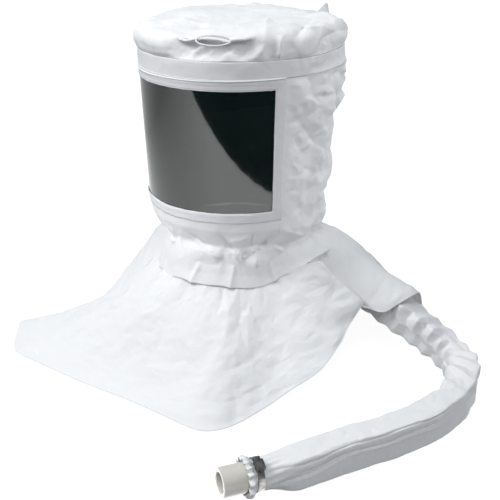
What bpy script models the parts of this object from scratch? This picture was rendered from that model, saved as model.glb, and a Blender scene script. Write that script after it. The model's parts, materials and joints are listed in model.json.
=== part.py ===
"""Loose-fitting powered air respirator: hood with a wrapped visor, head harness, air duct and hose.

Metres, +Z up. The wearer faces -Y and the wearer's left is +X. The origin is the centre of the
headband, where the head carries the hood, and the bibs and the hose lie on a level plane below it.
"""

from __future__ import annotations

from math import cos, degrees, pi, radians, sin
from typing import Callable, Sequence

import bmesh
import bpy
import numpy as np
from mathutils import Matrix, Vector

# ---------------------------------------------------------------- driving dimensions
REST_DROP = 0.425  # headband plane above the plane that the hem lies on
GAP = 0.0006  # clearance between sewn pieces
CLEAR = 0.0003  # clearance between hard pieces that touch
FABRIC = 0.0012  # non-woven with its seam allowances
FILM = 0.0008  # visor film

LENS_HALF_ANGLE = 68.8  # degrees each side of straight ahead
LENS_LOW, LENS_HIGH = -0.157, 0.031
LENS_LAP = 0.008  # film under the border all round
BORDER_HEIGHT = 0.015
BORDER_ANGLE = 6.0
FOREHEAD_TOP = 0.080
NECK_SEAM = -0.225
NECK_RADIUS = 0.113
SKIRT_DROP = 0.065
SKIRT_FLARE = 0.014
SKIRT_HALF_ANGLE = 112.0
SIDE_END_ANGLE = 150.0
CROWN_RISE = 0.041
BIB_TOP_RADIUS = 0.109
BIB_SPLIT_ANGLE = 100.0
BIB_SAG = 0.022

ELASTIC_HEIGHT, ELASTIC_THICK = 0.008, 0.002

BAND_HALF_WIDTH, BAND_HALF_LENGTH = 0.078, 0.098
BAND_HEIGHT, BAND_THICK = 0.020, 0.0016
SWEAT_THICK, SWEAT_HEIGHT, SWEAT_HALF_ANGLE = 0.0025, 0.026, 55.0
STRAP_TOP, STRAP_WIDTH, STRAP_THICK = 0.086, 0.018, 0.0012
HANGER_WIDTH, HANGER_HEIGHT = 0.016, 0.018
TAB_WIDTH = 0.020

PINION_TEETH, GEAR_MODULE, PINION_WIDTH = 12, 0.000835, 0.0024
TOOTH_ADDENDUM, TOOTH_ROOT, BACKLASH = 0.0006, 0.0010, 0.00022
RACK_LENGTH, RACK_HEIGHT, RACK_THICK = 0.056, 0.0065, 0.0016
RACK_TRAVEL = 0.010
HOUSING_WALL, HOUSING_HALF_WIDTH = 0.0016, 0.031
SHAFT_RADIUS = 0.0026
KNOB_RADIUS, KNOB_LENGTH, KNOB_LOBES = 0.021, 0.012, 14

DUCT_WIDTH, DUCT_DEPTH, DUCT_WALL = 0.026, 0.013, 0.0012
OUTLET_LENGTH, OUTLET_WIDTH, OUTLET_HEIGHT = 0.050, 0.025, 0.006
SPIGOT_RADIUS, SPIGOT_BORE, SPIGOT_LENGTH = 0.0150, 0.0125, 0.030
INLET_X, INLET_Y, INLET_Z = 0.037, 0.119, -0.055

HOSE_RADIUS = 0.020
SLEEVE_RADIUS, SLEEVE_WALL = 0.0275, 0.0012
CUFF_RADIUS, CUFF_BORE, CUFF_LENGTH = 0.020, 0.0135, 0.075
CUFF_SHOWN = 0.034  # cuff beyond the sleeve's gathered end
CLAMP_FROM_FACE = 0.049
CLAMP_WIDTH, CLAMP_THICK, CLAMP_PITCH = 0.009, 0.0007, 0.0016
CLAMP_SHANK, CLAMP_HEAD, CLAMP_HEAD_LENGTH = 0.0024, 0.0040, 0.0045
CLAMP_LENGTH = 0.014
CUFF_FACE = Vector((0.314, -0.346, -REST_DROP + SLEEVE_RADIUS + CLEAR))
CUFF_OUT = Vector((-0.413, -0.911, 0.0)).normalized()

# The hose's route: down inside the nape, out under the back bib, then round on the rest plane.
HOSE_ROUTE = (
    (0.037, 0.119, -0.0858),
    (0.037, 0.119, -0.120),
    (0.034, 0.098, -0.177),
    (0.030, 0.074, -0.225),
    (0.042, 0.084, -0.268),
    (0.078, 0.108, -0.300),
    (0.130, 0.118, -0.312),
    (0.185, 0.113, -0.316),
    (0.235, 0.114, -0.330),
    (0.282, 0.126, -0.356),
    (0.326, 0.136, -0.381),
    (0.366, 0.124, -0.393),
    (0.398, 0.086, -0.3965),
    (0.416, 0.028, -0.3970),
    (0.417, -0.042, -0.3970),
    (0.403, -0.108, -0.3970),
    (0.380, -0.174, -0.3970),
)
ROUTE_DROP = 0.425  # the rest drop that the route's heights are written for
SLEEVE_START = 0.165  # along the hose, just below the neck opening
SLEEVE_SIDES = 16
HOSE_STEP = 0.030
# The sleeve's outer radius where it is gathered on the cuff, with room for its flats.
GATHERED = (CUFF_RADIUS + CLEAR) / cos(pi / SLEEVE_SIDES) + SLEEVE_WALL

# Hems, from one shoulder round to the other: the heights are above the rest plane.
FRONT_HEM = (
    (-0.222, 0.060, 0.105),
    (-0.262, -0.030, 0.055),
    (-0.287, -0.130, 0.012),
    (-0.289, -0.205, 0.0),
    (-0.274, -0.250, 0.0),
    (-0.240, -0.290, 0.0),
    (-0.200, -0.300, 0.0),
    (-0.063, -0.288, 0.0),
    (0.051, -0.269, 0.0),
    (0.150, -0.258, 0.0),
    (0.190, -0.244, 0.0),
    (0.206, -0.200, 0.0),
    (0.217, -0.110, 0.020),
    (0.234, -0.059, 0.040),
    (0.229, 0.010, 0.078),
    (0.219, 0.058, 0.108),
)
BACK_HEM = (
    (0.200, 0.076, 0.108),
    (0.226, 0.085, 0.118),
    (0.234, 0.116, 0.142),
    (0.236, 0.150, 0.115),
    (0.228, 0.200, 0.040),
    (0.205, 0.255, 0.0),
    (0.165, 0.285, 0.0),
    (0.0, 0.292, 0.0),
    (-0.165, 0.285, 0.0),
    (-0.210, 0.250, 0.0),
    (-0.236, 0.185, 0.030),
    (-0.232, 0.120, 0.066),
    (-0.205, 0.080, 0.100),
)


# ---------------------------------------------------------------- scene helpers
def clear_scene() -> None:
    """Empty the scene."""
    for obj in list(bpy.data.objects):
        bpy.data.objects.remove(obj, do_unlink=True)


def finish(name: str, colour: Sequence[float], roughness: float, metallic: float = 0.0):
    """A Principled material.

    Returns:
        The new material.
    """
    material = bpy.data.materials.new(name)
    material.use_nodes = True
    shader = material.node_tree.nodes["Principled BSDF"]
    shader.inputs["Base Color"].default_value = (*colour, 1.0)
    shader.inputs["Roughness"].default_value = roughness
    shader.inputs["Metallic"].default_value = metallic
    return material


FABRIC_WHITE = ((0.86, 0.87, 0.88), 0.75)
BINDING = ((0.80, 0.81, 0.83), 0.8)
SMOKED = ((0.05, 0.07, 0.07), 0.12)
BLACK_PLASTIC = ((0.03, 0.03, 0.035), 0.45)
SOFT_PAD = ((0.10, 0.11, 0.13), 0.9)
WEBBING = ((0.07, 0.07, 0.08), 0.85)
GREY_HOSE = ((0.45, 0.46, 0.47), 0.5)
IVORY = ((0.80, 0.77, 0.68), 0.4)
STEEL = ((0.60, 0.60, 0.60), 0.3, 1.0)


def add_mesh(name: str, points, faces, look, thick: float = 0.0) -> bpy.types.Object:
    """A named object from points and faces, as a sheet of the given thickness or as a closed solid.

    Returns:
        The new object.
    """
    mesh = bpy.data.meshes.new(name)
    mesh.from_pydata([tuple(p) for p in points], [], [tuple(f) for f in faces])
    work = bmesh.new()
    work.from_mesh(mesh)
    bmesh.ops.recalc_face_normals(work, faces=work.faces)
    work.to_mesh(mesh)
    work.free()
    obj = bpy.data.objects.new(name, mesh)
    bpy.context.scene.collection.objects.link(obj)
    mesh.materials.append(finish(name, *look))
    if thick:
        solid = obj.modifiers.new("thickness", "SOLIDIFY")
        solid.thickness = thick
        solid.offset = 0.0
        solid.use_even_offset = True
    return obj


def grid_faces(rows: int, columns: int, closed: bool = False) -> list[tuple[int, ...]]:
    """Quads over rows by columns of points, joined round where closed."""
    wrap = columns if closed else columns - 1
    return [
        (r * columns + c, r * columns + (c + 1) % columns, (r + 1) * columns + (c + 1) % columns, (r + 1) * columns + c)
        for r in range(rows - 1)
        for c in range(wrap)
    ]


def sheet(name: str, rows, look, thick: float, closed: bool = False) -> bpy.types.Object:
    """A sheet through rows of points.

    Returns:
        The new object.
    """
    points = [p for row in rows for p in row]
    return add_mesh(name, points, grid_faces(len(rows), len(rows[0]), closed), look, thick)


def prism(name: str, outline, low: float, high: float, look, place: Matrix | None = None) -> bpy.types.Object:
    """An outline in X and Z, extruded along Y from low to high, then placed.

    Returns:
        The new object.
    """
    count = len(outline)
    points = [Vector((x, y, z)) for y in (low, high) for x, z in outline]
    faces = [tuple(range(count)), tuple(range(2 * count - 1, count - 1, -1))]
    faces += [(i, (i + 1) % count, (i + 1) % count + count, i + count) for i in range(count)]
    if place:
        points = [place @ p for p in points]
    return add_mesh(name, points, faces, look)


def turned(name: str, profile, look, sides: int, place: Matrix) -> bpy.types.Object:
    """A closed profile of (radius, along) turned about local Y, as a ring.

    Returns:
        The new object.
    """
    rows = []
    for i in range(sides):
        turn = 2 * pi * i / sides
        rows.append([place @ Vector((r * sin(turn), a, r * cos(turn))) for r, a in profile])
    points = [p for row in rows for p in row]
    n = len(profile)
    faces = [
        (i * n + j, i * n + (j + 1) % n, ((i + 1) % sides) * n + (j + 1) % n, ((i + 1) % sides) * n + j)
        for i in range(sides)
        for j in range(n)
    ]
    obj = add_mesh(name, points, faces, look)
    obj.data.shade_smooth()
    obj.data.set_sharp_from_angle(angle=radians(35))
    return obj


def cut(obj: bpy.types.Object, cutter: bpy.types.Object, operation: str = "DIFFERENCE") -> None:
    """Cut or join with a hidden helper."""
    cutter.hide_render = True
    cutter.display_type = "WIRE"
    change = obj.modifiers.new(operation.lower(), "BOOLEAN")
    change.operation = operation
    change.solver = "EXACT"
    change.object = cutter


def box(name: str, low, high, look) -> bpy.types.Object:
    """A box between two corners.

    Returns:
        The new object.
    """
    outline = [(low[0], low[2]), (high[0], low[2]), (high[0], high[2]), (low[0], high[2])]
    return prism(name, outline, low[1], high[1], look)


def set_origin(obj: bpy.types.Object, place: Vector) -> None:
    """Put an object's origin on its joint axis, with its shape where it was."""
    obj.data.transform(Matrix.Translation(-place))
    obj.location = place


# ---------------------------------------------------------------- smooth curves
def smooth_through(points, step: float) -> list[Vector]:
    """Evenly spaced points on a Catmull-Rom curve through the given points.

    Returns:
        The points, ends included.
    """
    route = [Vector(p) for p in points]
    route = [2 * route[0] - route[1], *route, 2 * route[-1] - route[-2]]
    fine = []
    for a, b, c, d in zip(route, route[1:], route[2:], route[3:]):
        for i in range(16):
            t = i / 16
            fine.append(0.5 * (2 * b + (c - a) * t + (2 * a - 5 * b + 4 * c - d) * t**2 + (3 * b - a - 3 * c + d) * t**3))
    fine.append(route[-2])
    return even_points(fine, step)


def even_points(line: Sequence[Vector], step: float) -> list[Vector]:
    """A polyline resampled at equal spacing near the given step."""
    lengths = np.concatenate([[0.0], np.cumsum([(b - a).length for a, b in zip(line, line[1:])])])
    count = max(2, round(lengths[-1] / step) + 1)
    at = np.linspace(0.0, lengths[-1], count)
    return [Vector([np.interp(s, lengths, [p[k] for p in line]) for k in range(3)]) for s in at]


def between(line: Sequence[Vector], start: float, end: float, step: float) -> list[Vector]:
    """The stretch of a polyline from one distance along it to another."""
    lengths = np.concatenate([[0.0], np.cumsum([(b - a).length for a, b in zip(line, line[1:])])])
    count = max(2, round((end - start) / step) + 1)
    at = np.linspace(start, end, count)
    return [Vector([np.interp(s, lengths, [p[k] for p in line]) for k in range(3)]) for s in at]


def line_length(line: Sequence[Vector]) -> float:
    """A polyline's length."""
    return sum((b - a).length for a, b in zip(line, line[1:]))


# ---------------------------------------------------------------- hood
def smoothstep(low: float, high: float, value: float) -> float:
    """0 below low, 1 above high, smooth between."""
    t = min(max((value - low) / (high - low), 0.0), 1.0)
    return t * t * (3 - 2 * t)


def wall_radius(angle: float, height: float) -> float:
    """The hood's radius about the vertical through the headband's centre.

    Args:
        angle: degrees from straight ahead towards the wearer's left.
        height: above the headband plane.
    """
    chin = LENS_LOW - BORDER_HEIGHT
    front = np.interp(height, [NECK_SEAM, chin, LENS_LOW, LENS_HIGH, FOREHEAD_TOP], [NECK_RADIUS, 0.1385, 0.139, 0.147, 0.149])
    back = np.interp(height, [NECK_SEAM, -0.155, -0.095, -0.025, 0.020, FOREHEAD_TOP], [NECK_RADIUS, 0.137, 0.146, 0.151, 0.167, 0.170])
    turn = abs((angle + 180) % 360 - 180)
    bulge = 0.006 * smoothstep(135, 180, turn) * smoothstep(NECK_SEAM, -0.10, height)
    share = smoothstep(LENS_HALF_ANGLE, 125, turn)
    return float(front + (back - front) * share + bulge)


def on_wall(angle: float, height: float, inset: float = 0.0) -> Vector:
    """A point of the hood's wall."""
    radius = wall_radius(angle, height) - inset
    return Vector((radius * sin(radians(angle)), -radius * cos(radians(angle)), height))


def spread(low: float, high: float, step: float) -> np.ndarray:
    """Values from low to high, spaced no wider than step."""
    return np.linspace(low, high, max(2, int(np.ceil((high - low) / step)) + 1))


def gap_angle(gap: float = GAP) -> float:
    """The angle that a gap takes at the lens's radius."""
    return degrees(gap / 0.14)


def wall_panel(name: str, start: float, end: float, low: float, high: float, look, inset: float = 0.0, thick: float = FABRIC):
    """A panel of the hood's wall between two angles and two heights.

    Returns:
        The new object.
    """
    breaks = sorted({h for h in (LENS_LOW, -0.095, -0.025, 0.020, LENS_HIGH) if low + 0.008 < h < high - 0.008} | {low, high})
    heights = [h for a, b in zip(breaks, breaks[1:]) for h in spread(a, b, 0.035)[:-1]] + [high]
    rows = [[on_wall(a, h, inset) for a in spread(start, end, 9.0)] for h in heights]
    return sheet(name, rows, look, thick)


def make_window() -> None:
    """The visor film behind its sewn border."""
    behind = FABRIC / 2 + FILM / 2 + GAP
    lap = degrees(LENS_LAP / 0.14)
    wall_panel(
        "visor_lens", -LENS_HALF_ANGLE - lap + 1.0, LENS_HALF_ANGLE + lap - 1.0,
        LENS_LOW - LENS_LAP, LENS_HIGH + LENS_LAP, SMOKED, behind, FILM,
    )
    outer = LENS_HALF_ANGLE + BORDER_ANGLE
    angles = [-outer, *spread(-LENS_HALF_ANGLE, LENS_HALF_ANGLE, 9.0), outer]
    heights = [LENS_LOW - BORDER_HEIGHT, *spread(LENS_LOW, LENS_HIGH, 0.05), LENS_HIGH + BORDER_HEIGHT]
    points = [on_wall(a, h) for h in heights for a in angles]
    columns, last_row, last_column = len(angles), len(heights) - 2, len(angles) - 2
    faces = [
        face
        for number, face in enumerate(grid_faces(len(heights), columns))
        if number // (columns - 1) in (0, last_row) or number % (columns - 1) in (0, last_column)
    ]
    border = add_mesh("window_frame", points, faces, FABRIC_WHITE, FABRIC)
    work = bmesh.new()
    work.from_mesh(border.data)
    bmesh.ops.delete(work, geom=[v for v in work.verts if not v.link_faces], context="VERTS")
    work.to_mesh(border.data)
    work.free()


def crown_rows() -> list[list[Vector]]:
    """Rows of the crown from its seam to its flat top, with a soft corner behind."""
    front = ((1.0, 0.0), (1.03, 0.30), (0.98, 0.62), (0.86, 0.84), (0.64, 0.95), (0.32, 1.0))
    back = ((1.0, 0.0), (1.03, 0.35), (1.06, 0.75), (0.99, 1.0), (0.70, 0.98), (0.35, 1.0))
    rows = []
    for (front_out, front_up), (back_out, back_up) in zip(front, back):
        row = []
        for angle in np.arange(0, 360, 10.0):
            share = smoothstep(90, 160, abs((angle + 180) % 360 - 180))
            out = front_out + (back_out - front_out) * share
            up = front_up + (back_up - front_up) * share
            point = on_wall(angle, FOREHEAD_TOP) * out
            point.z = FOREHEAD_TOP + GAP + CROWN_RISE * up
            row.append(point)
        rows.append(row)
    return rows


def make_crown() -> None:
    """The crown panel: a closed cap."""
    rows = crown_rows()
    points = [p for row in rows for p in row] + [Vector((0, 0, FOREHEAD_TOP + GAP + CROWN_RISE))]
    columns = len(rows[0])
    faces = grid_faces(len(rows), columns, closed=True)
    start = (len(rows) - 1) * columns
    faces += [(start + i, start + (i + 1) % columns, len(points) - 1) for i in range(columns)]
    add_mesh("crown_panel", points, faces, FABRIC_WHITE, FABRIC)


def make_wall() -> None:
    """The panels between the crown and the neck."""
    edge = LENS_HALF_ANGLE + BORDER_ANGLE
    gap = gap_angle()
    above = LENS_HIGH + BORDER_HEIGHT + GAP
    below = LENS_LOW - BORDER_HEIGHT - GAP
    wall_panel("forehead_band", -edge, edge, above, FOREHEAD_TOP, BINDING)
    wall_panel("chin_panel", -edge, edge, NECK_SEAM, below, FABRIC_WHITE)
    wall_panel("left_side_panel", edge + gap, SIDE_END_ANGLE, NECK_SEAM, FOREHEAD_TOP, FABRIC_WHITE)
    wall_panel("right_side_panel", -SIDE_END_ANGLE, -edge - gap, NECK_SEAM, FOREHEAD_TOP, FABRIC_WHITE)
    wall_panel("back_panel", SIDE_END_ANGLE + gap, 360 - SIDE_END_ANGLE - gap, NECK_SEAM, FOREHEAD_TOP, FABRIC_WHITE)


def ring_point(angle: float, radius: float, height: float) -> Vector:
    """A point at an angle from straight ahead."""
    return Vector((radius * sin(radians(angle)), -radius * cos(radians(angle)), height))


def make_skirt() -> None:
    """The gathered skirt below the neck seam, over the front bib's top edge."""
    rows = [
        [ring_point(a, NECK_RADIUS + SKIRT_FLARE * share, NECK_SEAM - GAP - SKIRT_DROP * share) for a in spread(-SKIRT_HALF_ANGLE, SKIRT_HALF_ANGLE, 9.0)]
        for share in (0.0, 0.5, 1.0)
    ]
    sheet("neck_skirt", rows, FABRIC_WHITE, FABRIC)


def make_elastic() -> None:
    """The elastic ring that draws the hood in at the neck."""
    radius = NECK_RADIUS - FABRIC / 2 - GAP - 0.001
    low = NECK_SEAM + 0.001
    profile = [(radius - ELASTIC_THICK, low), (radius, low), (radius, low + ELASTIC_HEIGHT), (radius - ELASTIC_THICK, low + ELASTIC_HEIGHT)]
    upright = Matrix.Rotation(radians(90), 4, "X")
    turned("neck_elastic", profile, WEBBING, 36, upright)


def over_hose(point: Vector, hose: Sequence[Vector], clearance: float) -> Vector:
    """The point moved up and out so that the sheet lies over the hose."""
    best = None
    for a, b in zip(hose, hose[1:]):
        run = b - a
        t = min(max((point - a).dot(run) / run.length_squared, 0.0), 1.0)
        near = a + run * t
        away = point - near
        if best is None or away.length < best[0]:
            best = (away.length, near, away)
    distance, near, away = best
    if distance >= clearance:
        return point
    flat = Vector((near.x, near.y, 0)).normalized()
    lift = (away / max(distance, 1e-6) + Vector((0, 0, 1.2)) + flat * 0.3).normalized()
    moved = near + lift * clearance
    return moved


def bib_rows(hem, start: float, end: float, top: tuple[float, float], columns: int, rows: int) -> list[list[Vector]]:
    """Rows of a bib from a ring of (radius, height) round the neck down to its hem, sagging between.

    Returns:
        The rows of points, the one at the neck first.
    """
    low = -REST_DROP + FABRIC / 2 + CLEAR
    edge = [Vector((x, y, low + z)) for x, y, z in hem]
    edge = even_points(edge, line_length(edge) / columns)
    angles = np.linspace(start, end, len(edge))
    lines = []
    for share in np.linspace(0, 1, rows + 1):
        line = [ring_point(angle, *top).lerp(foot, share) for angle, foot in zip(angles, edge)]
        sag = BIB_SAG * 4 * share * (1 - share)
        lines.append([Vector((p.x, p.y, max(p.z - sag, low))) for p in line])
    return lines


def make_bibs(hose: Sequence[Vector]) -> None:
    """The two shoulder bibs: the front one hangs from under the skirt, the back one from the neck seam."""
    under_skirt = (NECK_RADIUS + SKIRT_FLARE - 0.008, NECK_SEAM - SKIRT_DROP - 0.003)
    front = bib_rows(FRONT_HEM, -BIB_SPLIT_ANGLE, BIB_SPLIT_ANGLE, under_skirt, 28, 7)
    angles = np.linspace(-BIB_SPLIT_ANGLE, BIB_SPLIT_ANGLE, len(front[0]))
    sewn = [ring_point(angle, BIB_TOP_RADIUS, NECK_SEAM - 0.006) for angle in angles]
    sheet("front_bib", [sewn, *front], FABRIC_WHITE, FABRIC)
    start = SKIRT_HALF_ANGLE + gap_angle()
    back = bib_rows(BACK_HEM, start, 360 - start, (NECK_RADIUS + 0.0012, NECK_SEAM - GAP - FABRIC), 36, 14)
    clearance = SLEEVE_RADIUS + 0.0105
    draped = [[over_hose(p, hose, clearance) for p in row] for row in back[1:]]
    sheet("back_bib", [back[0], *draped], FABRIC_WHITE, FABRIC)


# ---------------------------------------------------------------- head harness
def band_line(half_angle: float, offset: float = 0.0, step: float = 8.0) -> list[Vector]:
    """Points of the headband's ellipse, seen from above."""
    a, b = BAND_HALF_WIDTH + offset, BAND_HALF_LENGTH + offset
    return [Vector((a * sin(radians(t)), -b * cos(radians(t)), 0)) for t in spread(-half_angle, half_angle, step)]


def strip(name: str, line: Sequence[Vector], height: float, thick: float, look):
    """An upright strip of the given height along a level line.

    Returns:
        The new object.
    """
    rows = [[p + Vector((0, 0, z)) for p in line] for z in (-height / 2, height / 2)]
    return sheet(name, rows, look, thick)


def make_headband() -> None:
    """The headband, with straight tails that run into the ratchet, and its sweatband."""
    front = band_line(120.0)
    end = BAND_HALF_LENGTH + 0.0005
    tail = [Vector((0.0585, 0.080, 0)), Vector((0.047, 0.0945, 0)), Vector((0.036, end, 0)), Vector((0.019, end, 0))]
    mirrored = [Vector((-p.x, p.y, 0)) for p in reversed(tail)]
    strip("headband", [*mirrored, *front, *tail], BAND_HEIGHT, BAND_THICK, BLACK_PLASTIC)
    inset = BAND_THICK / 2 + SWEAT_THICK / 2 + CLEAR
    strip("sweatband", band_line(SWEAT_HALF_ANGLE, -inset), SWEAT_HEIGHT, SWEAT_THICK, SOFT_PAD)


def arch(reach_low: float, reach_high: float, foot_low: float, foot_high: float, top: float) -> list[tuple[float, float]]:
    """Points of an arched strap: (along, height), with a foot at each end."""
    points = []
    for t in np.linspace(180, 0, 19):
        along = cos(radians(t))
        reach, foot = (reach_high, foot_high) if along > 0 else (reach_low, foot_low)
        points.append((along * reach, foot + (top - foot) * sin(radians(t)) ** 0.8))
    return points


def make_crown_straps() -> None:
    """The two straps that carry the harness on top of the head, and what fastens them."""
    out = BAND_THICK / 2 + CLEAR + STRAP_THICK
    foot = BAND_HEIGHT / 2 + 0.009
    half = STRAP_WIDTH / 2
    rear_foot = BAND_HEIGHT / 2 + 0.009
    long_arch = arch(BAND_HALF_LENGTH + out, BAND_HALF_LENGTH - 0.001, foot, rear_foot, STRAP_TOP)
    sheet("crown_strap_fore_aft", [[Vector((x, y, z)) for y, z in long_arch] for x in (-half, half)], WEBBING, STRAP_THICK)
    cross_arch = arch(BAND_HALF_WIDTH + out, BAND_HALF_WIDTH + out, foot, foot, STRAP_TOP + STRAP_THICK + 0.001)
    sheet("crown_strap_cross", [[Vector((x, y, z)) for x, z in cross_arch] for y in (-half, half)], WEBBING, STRAP_THICK)
    inner = BAND_THICK / 2 + CLEAR
    low, high = -HANGER_HEIGHT / 2, HANGER_HEIGHT / 2
    w = HANGER_WIDTH / 2
    thick = 0.0018
    for name, side in (("left_hanger", 1), ("right_hanger", -1)):
        x0, x1 = sorted((side * (BAND_HALF_WIDTH + inner + 0.0002), side * (BAND_HALF_WIDTH + inner + 0.0002 + thick)))
        box(name, (x0, -w, low), (x1, w, high), BLACK_PLASTIC)
    y1 = -(BAND_HALF_LENGTH + inner + 0.0002)
    box("front_hanger", (-w, y1 - thick, low), (w, y1, high), BLACK_PLASTIC)
    reach = BAND_HALF_WIDTH + inner + 0.0002 + thick + CLEAR
    for name, side in (("left_hood_tab", 1), ("right_hood_tab", -1)):
        angle = side * 90
        wall = wall_radius(angle, 0) - FABRIC / 2 - 3 * GAP
        line = [Vector((side * x, 0, z)) for x, z in ((reach, 0.004), ((reach + wall) / 2, -0.006), (wall - 0.001, 0.002))]
        rows = [[p + Vector((0, y, 0)) for p in line] for y in (-TAB_WIDTH / 2, TAB_WIDTH / 2)]
        sheet(name, rows, BINDING, FABRIC)


def pinion_outline() -> list[tuple[float, float]]:
    """The pinion's teeth, with a gap facing straight up and straight down."""
    pitch = GEAR_MODULE * PINION_TEETH / 2
    half = pi / PINION_TEETH / 2 - BACKLASH / pitch / 2
    outline = []
    for tooth in range(PINION_TEETH):
        centre = 2 * pi * (tooth + 0.5) / PINION_TEETH
        for radius, width in ((pitch - TOOTH_ROOT, 1.45), (pitch, 1.0), (pitch + TOOTH_ADDENDUM, 0.42)):
            outline.append((radius, centre - half * width))
        for radius, width in ((pitch + TOOTH_ADDENDUM, 0.42), (pitch, 1.0), (pitch - TOOTH_ROOT, 1.45)):
            outline.append((radius, centre + half * width))
    return [(r * sin(t), r * cos(t)) for r, t in outline]


def rack_outline(side: int) -> list[tuple[float, float]]:
    """A rack strap: teeth towards the pinion, above it for side 1 and below it for side -1."""
    pitch_line = GEAR_MODULE * PINION_TEETH / 2
    pitch = pi * GEAR_MODULE
    quarter = pitch / 4 - BACKLASH / 2
    teeth = int((RACK_TRAVEL + 0.004) / pitch) * 2 + 1
    first = -(teeth // 2) * pitch
    outline = []
    for tooth in range(teeth):
        x = first + tooth * pitch
        for dx, dz in ((-quarter * 1.35, TOOTH_ROOT), (-quarter * 0.55, -TOOTH_ADDENDUM * 0.8), (quarter * 0.55, -TOOTH_ADDENDUM * 0.8), (quarter * 1.35, TOOTH_ROOT)):
            outline.append((x + dx, pitch_line + dz))
    far = -first + pitch / 2
    top = pitch_line + TOOTH_ROOT + RACK_HEIGHT
    outline += [(RACK_LENGTH, pitch_line + TOOTH_ROOT), (RACK_LENGTH, top), (-far, top), (-far, pitch_line + TOOTH_ROOT)]
    return [(side * x, side * z) for x, z in outline]


def make_ratchet() -> None:
    """The ratchet at the nape: racks, pinion, housing, cover and knob, stacked along Y."""
    band_out = BAND_HALF_LENGTH + 0.0005 + BAND_THICK / 2
    rack_in = band_out + CLEAR
    rack_out = rack_in + RACK_THICK
    prism("left_rack_strap", rack_outline(1), rack_in, rack_out, BLACK_PLASTIC)
    prism("right_rack_strap", rack_outline(-1), rack_in, rack_out, BLACK_PLASTIC)
    pitch_line = GEAR_MODULE * PINION_TEETH / 2
    rail = pitch_line + TOOTH_ROOT + RACK_HEIGHT + CLEAR
    plate_out = band_out - BAND_THICK - CLEAR
    plate_in = plate_out - HOUSING_WALL
    cover_in = rack_out + CLEAR
    cover_out = cover_in + HOUSING_WALL
    w = HOUSING_HALF_WIDTH
    housing = box("ratchet_housing", (-w, plate_in, -rail - HOUSING_WALL), (w, cover_in - CLEAR, rail + HOUSING_WALL), BLACK_PLASTIC)
    cut(housing, box("housing_channel", (-w - 0.01, plate_out, -rail), (w + 0.01, cover_in + 0.01, rail), BLACK_PLASTIC))
    cover = box("ratchet_cover", (-w, cover_in, -rail - HOUSING_WALL), (w, cover_out, rail + HOUSING_WALL), BLACK_PLASTIC)
    bore = SHAFT_RADIUS + 0.0002
    cut(cover, prism("cover_bore", circle(bore, 24), cover_in - 0.01, cover_out + 0.01, BLACK_PLASTIC))
    pinion = prism("ratchet_pinion", pinion_outline(), rack_in, rack_in + PINION_WIDTH - 0.0008, BLACK_PLASTIC)
    cut(pinion, prism("pinion_shaft", circle(SHAFT_RADIUS, 24), rack_in + 0.0004, cover_out + CLEAR, BLACK_PLASTIC), "UNION")
    start = cover_out + 2 * CLEAR
    lobes = [
        (KNOB_RADIUS + 0.0009 * cos(KNOB_LOBES * 2 * pi * i / 84), 2 * pi * i / 84)
        for i in range(84)
    ]
    knob = prism("ratchet_knob", [(r * sin(t), r * cos(t)) for r, t in lobes], start, start + KNOB_LENGTH, BLACK_PLASTIC)
    set_origin(knob, Vector((0, start, 0)))
    set_origin(pinion, Vector((0, rack_in, 0)))


def circle(radius: float, sides: int) -> list[tuple[float, float]]:
    """A regular outline."""
    return [(radius * sin(2 * pi * i / sides), radius * cos(2 * pi * i / sides)) for i in range(sides)]


# ---------------------------------------------------------------- air path
def frames_along(line: Sequence[Vector], up: Vector) -> list[tuple[Vector, Vector]]:
    """Two directions across a line at each of its points, turning as little as possible."""
    frames = []
    side = (line[1] - line[0]).cross(up).normalized()
    for i, _ in enumerate(line):
        along = (line[min(i + 1, len(line) - 1)] - line[max(i - 1, 0)]).normalized()
        side = (side - along * side.dot(along)).normalized()
        frames.append((side, side.cross(along).normalized()))
    return frames


def tube(name: str, line: Sequence[Vector], outer: Callable, inner: Callable, look, sides: int, up: Vector):
    """An open tube along a line; outer and inner give (half width, half depth) at each point's number.

    Returns:
        The new object.
    """
    count = len(line)
    frames = frames_along(line, up)
    points = []
    for size in (outer, inner):
        for i, (centre, (side, lift)) in enumerate(zip(line, frames)):
            a, b = size(i)
            for k in range(sides):
                t = 2 * pi * k / sides
                points.append(centre + side * (a * cos(t)) + lift * (b * sin(t)))
    shell = grid_faces(count, sides, closed=True)
    faces = shell + [tuple(v + count * sides for v in reversed(face)) for face in shell]
    for row in (0, count - 1):
        for k in range(sides):
            a, b = row * sides + k, row * sides + (k + 1) % sides
            faces.append((a, b, b + count * sides, a + count * sides))
    obj = add_mesh(name, points, faces, look)
    obj.data.shade_smooth()
    obj.data.set_sharp_from_angle(angle=radians(40))
    return obj


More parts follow.
